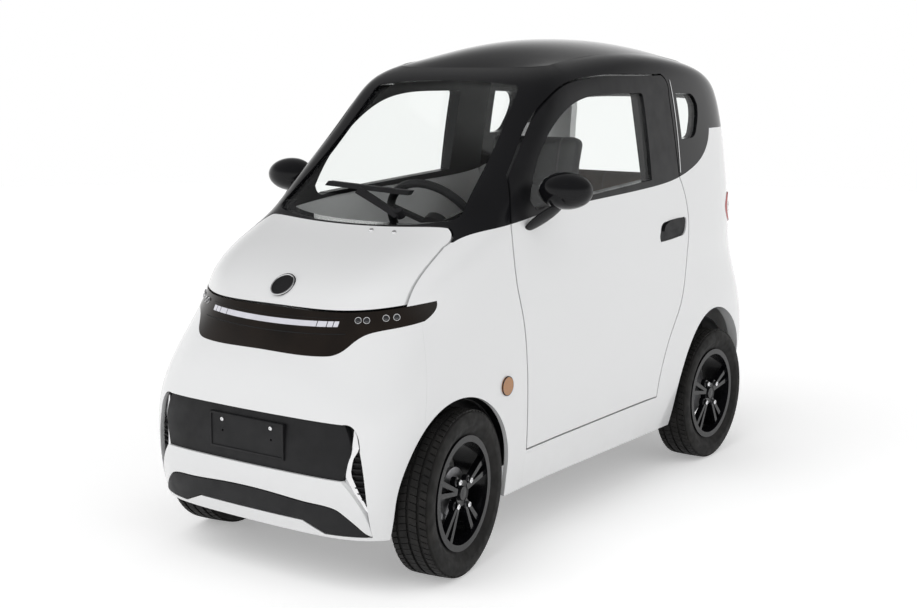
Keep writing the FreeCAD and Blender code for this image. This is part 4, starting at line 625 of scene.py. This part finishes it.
def wheel_places():
    """Each wheel's name and body, and the matrix that turns the X axis to the wheel's outer side."""
    spins = {joint["child"]: joint for joint in frame["joints"] if joint["name"].endswith("_spin")}
    places = []
    for body, joint in spins.items():
        axis = Vector(joint["axis"])
        centre = Vector(joint["pos_m"])
        if centre.x < 0:
            axis = -axis
        turned = Matrix.Rotation(math.atan2(axis.y, axis.x), 4, "Z")
        places.append((body.replace("_wheel", ""), body, Matrix.Translation(centre) @ turned))
    return places


class MICROCAR_OT_tyres(Operator):
    """Models one tyre with its tread, copies it to every wheel and hides the plain tyres"""

    bl_idname = "microcar.tyres"
    bl_label = "Add the tyres"

    def execute(self, context):
        depth = sizes().tread_depth
        groove = sizes().groove_width
        slant = TREAD_SLANT
        base = TYRE_RADIUS - depth
        outer_row = (-TREAD_HALF_WIDTH, -TREAD_HALF_WIDTH * TREAD_SPLIT)
        inner_row = (outer_row[1] + groove, -groove / 2)
        wall = list(SIDEWALL) + [(-0.0615, base - 0.0030)]
        near = [(outer_row[0], base - SHOULDER_DROP), (outer_row[1], base, slant),
                (inner_row[0], base, slant * 0.1), (inner_row[1], base + CROWN_RISE, slant * 0.8)]
        far = [(-inner_row[1], base + CROWN_RISE, 0), (-inner_row[0], base, -slant * 0.8),
               (-outer_row[1], base, -slant * 0.1), (-outer_row[0], base - SHOULDER_DROP, -slant)]
        turned_ring(wall + near + far + [(-x, radius) for x, radius in reversed(wall)], sizes().tread_blocks)
        for (low, high), gap in ((outer_row, SHOULDER_GAP), (inner_row, CENTRE_GAP)):
            for side, _ in SIDES:
                pick(lambda middle, normal: low < middle.x * side < high
                     and math.hypot(middle.y, middle.z) > base - 0.004)
                bpy.ops.mesh.inset(thickness=gap, depth=0, use_individual=True)
                bpy.ops.mesh.extrude_faces_move(TRANSFORM_OT_shrink_fatten={"value": depth})
        model = ready(tyre_rubber, 32)
        for name, body, matrix in wheel_places():
            tyre = moved_copy(model, "treaded_tyre_" + name, body, matrix)
            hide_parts("tyre_" + name)
        throw_away(model)
        return {"FINISHED"}


class MICROCAR_OT_wheel_fittings(Operator):
    """Adds each wheel's round cap and its chrome nuts on their seats"""

    bl_idname = "microcar.wheel_fittings"
    bl_label = "Add the wheel fittings"

    def execute(self, context):
        cap = cap_model(WHEEL_CAP, 40, alloy_black, 40)
        nut = self.nut(sizes().nut_radius)
        turned_ring(NUT_SEAT, 28, False)
        cap_holes()
        bpy.ops.transform.translate(value=(0, 0, sizes().nut_circle))
        seat = ready(alloy_black, 40)
        for name, body, matrix in wheel_places():
            moved_copy(cap, "wheel_cap_" + name, body, matrix)
            for index in range(NUT_COUNT):
                angle = NUT_START_ANGLE + 360 / NUT_COUNT * index
                turned = matrix @ Matrix.Rotation(math.radians(angle), 4, "X")
                ending = "%s_%d" % (name, index + 1)
                moved_copy(nut, "wheel_nut_" + ending, body, turned)
                moved_copy(seat, "nut_seat_" + ending, body, turned)
        throw_away(cap, nut, seat)
        return {"FINISHED"}

    def nut(self, radius):
        """A six-sided nut with an open end."""
        free_hands()
        bpy.ops.mesh.primitive_cylinder_add(vertices=6, radius=radius, depth=NUT_LENGTH,
                                            rotation=(0, math.pi / 2, 0),
                                            location=(NUT_PLACE, 0, sizes().nut_circle))
        bpy.ops.object.transform_apply(location=True, rotation=True)
        shape_it()
        pick(lambda middle, normal: normal.x > 0.9)
        bpy.ops.mesh.inset(thickness=radius * 0.22, depth=0.0018)
        bpy.ops.mesh.inset(thickness=radius * 0.22, depth=0)
        bpy.ops.mesh.extrude_region_move(TRANSFORM_OT_translate={"value": (-0.005, 0, 0)})
        improve("BEVEL", width=0.0006, segments=2, limit_method="ANGLE", angle_limit=math.radians(40))
        return ready(chrome, 30)


# Front

# Lines that look for a CAD piece start here, outside the car.
IN_FRONT = -1.4
BEHIND = 1.4
BESIDE = 0.7
BACKWARD = (0, 1, 0)
FORWARD = (0, -1, 0)
LIGHT_LEVEL = 0.7480
LIGHT_RISE = 0.008
LIGHT_REACH = 0.25
LIGHT_HALF_HEIGHT = 0.0075
LIGHT_CELLS = ((-0.2430, -0.2290), (-0.2265, -0.2095), (-0.2070, -0.1770), (-0.1745, 0.1745),
               (0.1770, 0.2070), (0.2095, 0.2265), (0.2290, 0.2430))
LONG_CELL = 4
LAMP_SEAMS = (("lower", -0.0275, -0.0250, 0.272), ("upper", 0.0150, 0.0162, 0.252))
PROJECTORS = ((0.293, 0.7675), (0.314, 0.7680), (0.3560, 0.7745), (0.3770, 0.7765))
PROJECTOR_RING = ((0.0000, 0.0098), (0.0030, 0.0098), (0.0036, 0.0091), (0.0030, 0.0083), (0.0006, 0.0078),
                  (0.0000, 0.0078))
PROJECTOR_EYE = ((0.0002, 0.0078), (0.0016, 0.0070), (0.0030, 0.0048), (0.0037, 0.0020), (0.0038, 0.0003))
TAIL_RING = ((0.0000, 0.0200), (0.0014, 0.0200), (0.0020, 0.0190), (0.0014, 0.0180), (0.0000, 0.0180))
BADGE_RIM = ((-0.0005, 0.0400), (0.0012, 0.0400), (0.0022, 0.0388), (0.0022, 0.0372), (0.0010, 0.0360),
             (-0.0005, 0.0360))
SCREW = ((0.0000, 0.0062), (0.0024, 0.0062), (0.0036, 0.0050), (0.0036, 0.0024), (0.0018, 0.0020),
         (0.0018, 0.0003))
SCREW_ACROSS = 0.095
SCREW_LIFT = 0.034
BLADE_OUTER = ((0.3660, -1.1595, 0.4850), (0.3788, -1.1613, 0.4322), (0.3642, -1.1709, 0.4040),
               (0.3582, -1.1744, 0.3619), (0.3800, -1.1600, 0.3000), (0.4045, -1.1405, 0.2466))
BLADE_INNER = ((0.3620, -1.1610, 0.4840), (0.3560, -1.1700, 0.4300), (0.3440, -1.1770, 0.3950),
               (0.3395, -1.1788, 0.3500), (0.3600, -1.1690, 0.2960), (0.3960, -1.1460, 0.2480))
NOZZLE = ((-0.001, 0.0075), (0.0030, 0.0072), (0.0058, 0.0055), (0.0068, 0.0030), (0.0070, 0.0004))
NOZZLE_PLACES = (0.1057, 0.1925)


def lamp_row(level_shift, x_start, x_end, count=9):
    """Points in front of the lamp bar, along the running light's slope."""
    points = []
    for index in range(count):
        across = x_start + (x_end - x_start) * index / (count - 1)
        level = LIGHT_LEVEL + level_shift + LIGHT_RISE * (abs(across) / LIGHT_REACH) ** 2
        points.append((across, IN_FRONT, level))
    return points


class MICROCAR_OT_lamps(Operator):
    """Adds the running light, the projectors, the lamp bar's seams and the tail lamps' rings"""

    bl_idname = "microcar.lamps"
    bl_label = "Add the lamps"

    def execute(self, context):
        half = LIGHT_HALF_HEIGHT
        for index, (start, end) in enumerate(LIGHT_CELLS, start=1):
            rows = (lamp_row(-half, start, end), lamp_row(half, start, end))
            laid_strip("running_light_%d" % index, "lamp_bar", rows, BACKWARD, 0.0012, 0.002, lit_strip,
                       40 if index == LONG_CELL else 4)
        for name, low, high, reach in LAMP_SEAMS:
            rows = (lamp_row(low, -reach, reach), lamp_row(high, -reach, reach))
            laid_strip("lamp_seam_" + name, "lamp_bar", rows, BACKWARD, 0.0008, 0.0015, grained_plastic,
                       50)
        ring = ring_model(PROJECTOR_RING, 32, chrome, 40)
        eye = cap_model(PROJECTOR_EYE, 32, dark_screen, 60)
        for side, side_name in SIDES:
            for index, (across, level) in enumerate(PROJECTORS, start=1):
                matrix = set_against(*surface_spot("lamp_bar", (across * side, IN_FRONT, level), BACKWARD))
                for model, label in ((ring, "ring"), (eye, "eye")):
                    name = "projector_%s_%s_%d" % (label, side_name, index)
                    moved_copy(model, name, "root", matrix)
        tail_ring = ring_model(TAIL_RING, 40, chrome, 40)
        for side, side_name in SIDES:
            matrix = set_against(*surface_spot("tail_lamps", (0.423 * side, BEHIND, 0.941), FORWARD))
            moved_copy(tail_ring, "tail_lamp_ring_" + side_name, "root", matrix)
        throw_away(ring, eye, tail_ring)
        return {"FINISHED"}


class MICROCAR_OT_front_fittings(Operator):
    """Adds the badge's rim, the plate holders' rims and screws, the chrome blades and the washer nozzles"""

    bl_idname = "microcar.front_fittings"
    bl_label = "Add the front fittings"

    def execute(self, context):
        rim = ring_model(BADGE_RIM, 64, chrome, 40)
        matrix = set_against(*surface_spot("badge_disc", (0, IN_FRONT, 0.8422), BACKWARD))
        moved_copy(rim, "badge_rim", "hood_lid", matrix)
        screw = cap_model(SCREW, 24, chrome, 35)
        for end, outward in (("front", -1), ("rear", 1)):
            self.plate_rim(end, outward, screw)
        for side, side_name in SIDES:
            self.blade(side, side_name)
        nozzle = cap_model(NOZZLE, 24, chrome, 50)
        for index, across in enumerate(NOZZLE_PLACES, start=1):
            matrix = set_against(*surface_spot("hood", (across, -0.770, 1.3), (0, 0, -1)))
            moved_copy(nozzle, "washer_nozzle_%d" % index, "hood_lid", matrix)
        throw_away(rim, screw, nozzle)
        return {"FINISHED"}

    def plate_rim(self, end, outward, screw):
        """A thin raised rim round a plate holder, and its two screws."""
        low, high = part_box("plate_holder_" + end)
        face = low.y if outward < 0 else high.y
        middle = (low + high) / 2
        free_hands()
        bpy.ops.mesh.primitive_plane_add(size=1, location=(0, 0, 0), rotation=(math.pi / 2, 0, 0))
        bpy.ops.object.transform_apply(rotation=True)
        shape_it()
        bpy.ops.transform.resize(value=(high.x - low.x - 0.002, 1, high.z - low.z - 0.002))
        bpy.ops.mesh.inset(thickness=0.006, depth=0)
        bpy.ops.mesh.delete(type="FACE")
        bpy.ops.mesh.select_all(action="SELECT")
        bpy.ops.transform.translate(value=(middle.x, face + outward * 0.0028, middle.z))
        improve("SOLIDIFY", thickness=0.0028, offset=-1 if outward < 0 else 1)
        improve("BEVEL", width=0.0008, segments=2, limit_method="ANGLE", angle_limit=math.radians(40))
        finished("plate_rim_" + end, material_of(grained_plastic), "root", 35, True)
        for side, side_name in SIDES:
            place = Vector((side * SCREW_ACROSS, face, middle.z + SCREW_LIFT))
            matrix = set_against(place, Vector((0, outward, 0)))
            moved_copy(screw, "plate_screw_%s_%s" % (end, side_name), "root", matrix)

    def blade(self, side, side_name):
        """The chrome blade between the grille's pocket and the bumper."""
        free_hands()
        bpy.ops.mesh.primitive_grid_add(x_subdivisions=16, y_subdivisions=2, size=1)
        for vertex in bpy.context.object.data.vertices:
            along, across = vertex.co.x + 0.5, vertex.co.y + 0.5
            vertex.co = on_line(BLADE_OUTER, along).lerp(on_line(BLADE_INNER, along), across)
            vertex.co.y -= 0.001 + 0.002 * math.sin(math.pi * across)
            vertex.co.x *= side
        improve("SOLIDIFY", thickness=0.007, offset=0)
        improve("BEVEL", width=0.0007, segments=2, limit_method="ANGLE", angle_limit=math.radians(45))
        finished("chrome_blade_" + side_name, material_of(chrome), "root", 40, True)


# Sides

LAMP_RIM = ((-0.0005, 0.0300), (0.0015, 0.0300), (0.0024, 0.0288), (0.0018, 0.0272), (-0.0005, 0.0268))
MIRROR_GLASS = ((-0.0010, 0.0500), (0.0012, 0.0500), (0.0020, 0.0488), (0.0014, 0.0478), (0.0012, 0.0002))
MIRROR_STRETCH = (1, 1.52, 0.96)
STRIP_WIDTH = 0.0035


class MICROCAR_OT_side_fittings(Operator):
    """Adds the bright strips behind the doors and the side lamps' rims"""

    bl_idname = "microcar.side_fittings"
    bl_label = "Add the side fittings"

    def execute(self, context):
        rim = ring_model(LAMP_RIM, 48, grained_plastic, 40)
        for side, side_name in SIDES:
            edges = [[(side * BESIDE, 0.5625 + shift + 0.004 * math.sin(math.pi * i / 10), 1.100 + 0.033 * i)
                      for i in range(11)] for shift in (0.0, STRIP_WIDTH)]
            laid_strip("pillar_strip_" + side_name, "cabin_frame", edges, (-side, 0, 0), 0.0010, 0.0018,
                       chrome, 40)
            spot, normal = surface_spot("side_lamps", (side * BESIDE, -0.601, 0.525), (-side, 0, 0))
            matrix = set_against(spot - normal * 0.002, normal)
            moved_copy(rim, "side_lamp_rim_" + side_name, "root", matrix)
        throw_away(rim)
        return {"FINISHED"}


class MICROCAR_OT_mirrors(Operator):
    """Adds the mirror glasses"""

    bl_idname = "microcar.mirrors"
    bl_label = "Add the mirror glasses"

    def execute(self, context):
        glass = cap_model(MIRROR_GLASS, 56, mirror_silver, 30, MIRROR_STRETCH)
        for side, side_name in SIDES:
            matrix = set_against(*surface_spot("mirror_" + side_name, (side * 0.556, 0.1, 1.101), FORWARD))
            moved_copy(glass, "mirror_glass_" + side_name, side_name + "_door", matrix)
        throw_away(glass)
        return {"FINISHED"}


# Cabin

CLOTH_STEPS = 20
GROWTH = 0.010
GROOVE_WIDTH = 0.006
ACROSS, ALONG, UP = 0, 1, 2
PLINTH_PLACE = (0, 0.045, 0.372)
PLINTH_SIZE = (0.30, 0.36, 0.222)
WHEEL_AXIS = (0, 0.848, 0.5299)
WHEEL_CENTRE = (0, -0.3005, 0.948)
CENTRE_PAD = ((0.010, 0.0460), (0.018, 0.0450), (0.0245, 0.0380), (0.0270, 0.0200), (0.0275, 0.0004))
VENT = ((0.000, 0.0330), (0.006, 0.0330), (0.0080, 0.0312), (0.0070, 0.0285), (0.002, 0.0270),
        (0.0020, 0.0004))
VENT_BLADES = 5


def blow_up(piece):
    """Blows a cushion up by cloth pressure, no vertex further than the allowed growth."""
    start = [vertex.co.copy() for vertex in piece.data.vertices]
    cloth = piece.modifiers.new("blown up", "CLOTH")
    cloth.settings.use_pressure = True
    cloth.settings.uniform_pressure_force = 4.0
    cloth.settings.effector_weights.gravity = 0
    cloth.settings.tension_stiffness = 15
    cloth.settings.compression_stiffness = 15
    cloth.settings.bending_stiffness = 2
    scene = bpy.context.scene
    for step in range(1, CLOTH_STEPS + 1):
        scene.frame_set(step)
    bpy.ops.object.modifier_apply(modifier=cloth.name)
    scene.frame_set(1)
    for vertex, before in zip(piece.data.vertices, start):
        travel = vertex.co - before
        if travel.length > GROWTH:
            vertex.co = before + travel.normalized() * GROWTH


def sew(piece, axis, place, depth, face_axis):
    """Presses one sewn groove into a cushion's top or front, across an axis at a place."""
    inward = -1 if face_axis == UP else 1
    for vertex in piece.data.vertices:
        distance = (vertex.co[axis] - place) / GROOVE_WIDTH
        if abs(distance) < 2.5 and vertex.co[face_axis] * inward < 0:
            vertex.co[face_axis] += inward * depth * math.exp(-distance * distance)


def pad(name, size, centre, lean, material, grooves):
    """A padded cushion blown up from a smaller block; a groove is its axis, place, depth and facing axis."""
    free_hands()
    bpy.ops.mesh.primitive_cube_add(size=1)
    bpy.ops.transform.resize(value=[length - 2 * GROWTH * 0.6 for length in size])
    bpy.ops.object.transform_apply(scale=True)
    improve("BEVEL", width=min(size) * 0.28, segments=4)
    improve("REMESH", mode="VOXEL", voxel_size=0.0065, use_smooth_shade=True)
    piece = bpy.context.object
    blow_up(piece)
    for groove in grooves:
        sew(piece, *groove)
    improve("SUBSURF", levels=1, render_levels=1)
    piece.data.transform(Matrix.Translation(centre) @ Matrix.Rotation(lean, 4, "X"))
    piece = finished(name, material, "root", 180)
    return piece


class MICROCAR_OT_seats(Operator):
    """Models the driver's padded seat on its plinth and the padded rear bench, and hides the plain ones"""

    bl_idname = "microcar.seats"
    bl_label = "Add the seats"

    def execute(self, context):
        leather = material_of(seat_leather)
        seat = [pad("driver_cushion", (0.388, 0.420, 0.125), (0, 0.045, 0.5480), 0, leather,
                    ((ACROSS, 0.118, 0.007, UP), (ACROSS, -0.118, 0.007, UP), (ALONG, 0.0, 0.005, UP))),
                pad("driver_back", (0.382, 0.088, 0.690), (0, 0.2620, 0.9000), -0.20, leather,
                    ((ACROSS, 0.115, 0.007, ALONG), (ACROSS, -0.115, 0.007, ALONG),
                     (UP, -0.10, 0.005, ALONG), (UP, 0.16, 0.005, ALONG)))]
        for piece in seat + [self.plinth()]:
            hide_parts("driver_seat")
        weave = material_of(bench_fabric)
        bench = [pad("bench_cushion", (0.694, 0.240, 0.122), (0, 0.6200, 0.5350), 0, weave,
                     ((ACROSS, 0.0, 0.006, UP),)),
                 pad("bench_back", (0.694, 0.088, 0.600), (0, 0.8060, 0.7900), -0.135, weave,
                     ((ACROSS, 0.0, 0.006, ALONG), (UP, 0.10, 0.004, ALONG)))]
        for piece in bench:
            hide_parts("rear_bench")
        return {"FINISHED"}

    def plinth(self):
        """The driver's seat's box, with sunk panels on its front and sides."""
        free_hands()
        bpy.ops.mesh.primitive_cube_add(size=1, location=PLINTH_PLACE)
        bpy.ops.transform.resize(value=PLINTH_SIZE)
        bpy.ops.object.transform_apply(location=True, scale=True)
        shape_it()
        pick(lambda middle, normal: abs(normal.x) > 0.9 or normal.y < -0.9)
        bpy.ops.mesh.inset(thickness=0.03, depth=0, use_individual=True)
        bpy.ops.mesh.inset(thickness=0.003, depth=-0.006, use_individual=True)
        improve("BEVEL", width=0.006, segments=3, limit_method="ANGLE", angle_limit=math.radians(50))
        return finished("seat_plinth", material_of(grained_plastic), "root", 35)


class MICROCAR_OT_cockpit(Operator):
    """Adds the steering wheel's centre pad and the air vents"""

    bl_idname = "microcar.cockpit"
    bl_label = "Add the cockpit details"

    def execute(self, context):
        centre_pad = cap_model(CENTRE_PAD, 40, grained_plastic, 50)
        matrix = set_against(Vector(WHEEL_CENTRE), Vector(WHEEL_AXIS).normalized())
        moved_copy(centre_pad, "steering_centre_pad", "steering", matrix)
        vent = cap_model(VENT, 40, grained_plastic, 40)
        for index, across in enumerate((-0.265, 0.265), start=1):
            spot, normal = surface_spot("dashboard", (across, 0.3, 0.830), FORWARD)
            moved_copy(vent, "air_vent_%d" % index, "root", set_against(spot, normal))
            for blade in range(VENT_BLADES):
                step = blade - VENT_BLADES // 2
                free_hands()
                bpy.ops.mesh.primitive_cube_add(size=1)
                bpy.ops.transform.resize(value=(0.048 - 0.006 * abs(step), 0.004, 0.0016))
                bpy.ops.object.transform_apply(scale=True)
                place = spot + normal * 0.005 + Vector((0, 0, 0.009 * step))
                bpy.context.object.data.transform(Matrix.Translation(place))
                improve("BEVEL", width=0.0005, segments=2)
                finished("vent_blade_%d_%d" % (index, blade + 1), material_of(grained_plastic), "root",
                         40)
        throw_away(centre_pad, vent)
        return {"FINISHED"}


# Studio

FLOOR_RADIUS = 14
SOFT_LAMPS = (("soft_front", (38, 0, -12), 1.15, 50), ("soft_side", (52, 0, 78), 0.55, 60))
CAMERA_PLACE = (2.7979, -4.0853, 1.4581)
CAMERA_TURN = (80.694, -0.275, 35.589)
CAMERA_LENS = 55.85
SENSOR_WIDTH = 36
FAR_CLIP = 60


def in_radians(angles):
    """Angles in degrees, turned to radians."""
    return [math.radians(angle) for angle in angles]


class MICROCAR_OT_studio(Operator):
    """Adds the pale floor, the soft lamps, the white surroundings and the camera"""

    bl_idname = "microcar.studio"
    bl_label = "Add the studio"

    def execute(self, context):
        scene = context.scene
        scene.view_settings.view_transform = "Standard"
        bpy.ops.mesh.primitive_circle_add(vertices=96, radius=FLOOR_RADIUS, fill_type="NGON")
        floor = context.object
        floor.name = "studio_floor"
        cover(floor, studio_floor())
        scene.world = surroundings()
        for name, turn, strength, spread in SOFT_LAMPS:
            bpy.ops.object.light_add(type="SUN", rotation=in_radians(turn))
            lamp = context.object
            lamp.name = name
            lamp.data.energy = strength
            lamp.data.angle = math.radians(spread)
            lamp.visible_glossy = False
        bpy.ops.object.camera_add(location=CAMERA_PLACE, rotation=in_radians(CAMERA_TURN))
        camera = context.object
        camera.name = "photo_camera"
        camera.data.lens = CAMERA_LENS
        camera.data.sensor_width = SENSOR_WIDTH
        camera.data.clip_end = FAR_CLIP
        scene.camera = camera
        return {"FINISHED"}


def studio_floor():
    """A white floor that shows the car's shadow."""
    finish = Finish("white studio floor", (0.94, 0.94, 0.94), 0.9, Specular_IOR_Level=0.1)
    finish.varied((0.95, 0.95, 0.95), 0.004, 0.7, 0.85, 0.95)
    shown = finish.add("Emission", Color=(1, 1, 1, 1), Strength=0.32)
    total = finish.add("AddShader")
    finish.tree.links.new(finish.shader.outputs[0], total.inputs[0])
    finish.tree.links.new(shown.outputs[0], total.inputs[1])
    rays = finish.add("LightPath")
    seen = finish.add("Math", operation="MAXIMUM", _0=rays.outputs["Is Camera Ray"],
                      _1=rays.outputs["Is Glossy Ray"]).outputs[0]
    seen = finish.add("Math", operation="MAXIMUM", _0=seen, _1=rays.outputs["Is Transmission Ray"]).outputs[0]
    mix = finish.add("MixShader", _0=seen)
    finish.tree.links.new(finish.shader.outputs[0], mix.inputs[1])
    finish.tree.links.new(total.outputs[0], mix.inputs[2])
    finish.tree.links.new(mix.outputs[0], finish.tree.nodes["Material Output"].inputs["Surface"])
    return finish.material


def surroundings():
    """White all round for the camera, softer light from above for the car."""
    world = bpy.data.worlds.new("white surroundings")
    world.use_nodes = True
    nodes, links = world.node_tree.nodes, world.node_tree.links
    background = nodes["Background"]
    background.inputs["Color"].default_value = (1, 1, 1, 1)
    rays = nodes.new("ShaderNodeLightPath")
    height = nodes.new("ShaderNodeSeparateXYZ")
    links.new(nodes.new("ShaderNodeTexCoord").outputs["Generated"], height.inputs[0])
    dome = nodes.new("ShaderNodeMapRange")
    dome.interpolation_type = "SMOOTHSTEP"
    for socket, value in (("From Min", 0.10), ("From Max", 0.55), ("To Min", 1.0), ("To Max", 0.30)):
        dome.inputs[socket].default_value = value
    links.new(height.outputs["Z"], dome.inputs["Value"])
    seen = nodes.new("ShaderNodeMix")
    links.new(rays.outputs["Is Camera Ray"], seen.inputs[0])
    links.new(dome.outputs[0], seen.inputs[2])
    seen.inputs[3].default_value = 1
    links.new(seen.outputs[0], background.inputs["Strength"])
    return world


PIECE_OPERATORS = ("finishes", "tyres", "wheel_fittings", "lamps", "front_fittings", "side_fittings",
                   "mirrors", "seats", "cockpit", "studio")


class MICROCAR_PT_looks(Panel):
    """Lists the steps and the sizes and colours of the car's looks"""

    bl_idname = "MICROCAR_PT_looks"
    bl_label = "Microcar Looks"
    bl_space_type = "VIEW_3D"
    bl_region_type = "UI"
    bl_category = "Microcar"

    def draw(self, context):
        column = self.layout.column()
        for name in PIECE_OPERATORS:
            column.operator("microcar." + name)
        for group in (colours(), sizes()):
            for name in group.__annotations__:
                column.prop(group, name)


CLASSES = (MicrocarColours, MicrocarSizes, MICROCAR_OT_finishes, MICROCAR_OT_tyres,
           MICROCAR_OT_wheel_fittings, MICROCAR_OT_lamps, MICROCAR_OT_front_fittings,
           MICROCAR_OT_side_fittings, MICROCAR_OT_mirrors, MICROCAR_OT_seats, MICROCAR_OT_cockpit,
           MICROCAR_OT_studio, MICROCAR_PT_looks)


def register():
    """Registers the add-on's classes and the scene's sizes and colours."""
    for item in CLASSES:
        bpy.utils.register_class(item)
    bpy.types.Scene.microcar_colours = PointerProperty(type=MicrocarColours)
    bpy.types.Scene.microcar_sizes = PointerProperty(type=MicrocarSizes)


def unregister():
    """Takes them away again."""
    del bpy.types.Scene.microcar_sizes
    del bpy.types.Scene.microcar_colours
    for item in reversed(CLASSES):
        bpy.utils.unregister_class(item)


def main():
    """Dresses the car step by step."""
    register()
    for name in PIECE_OPERATORS:
        getattr(bpy.ops.microcar, name)()


if __name__ == "__main__":
    main()
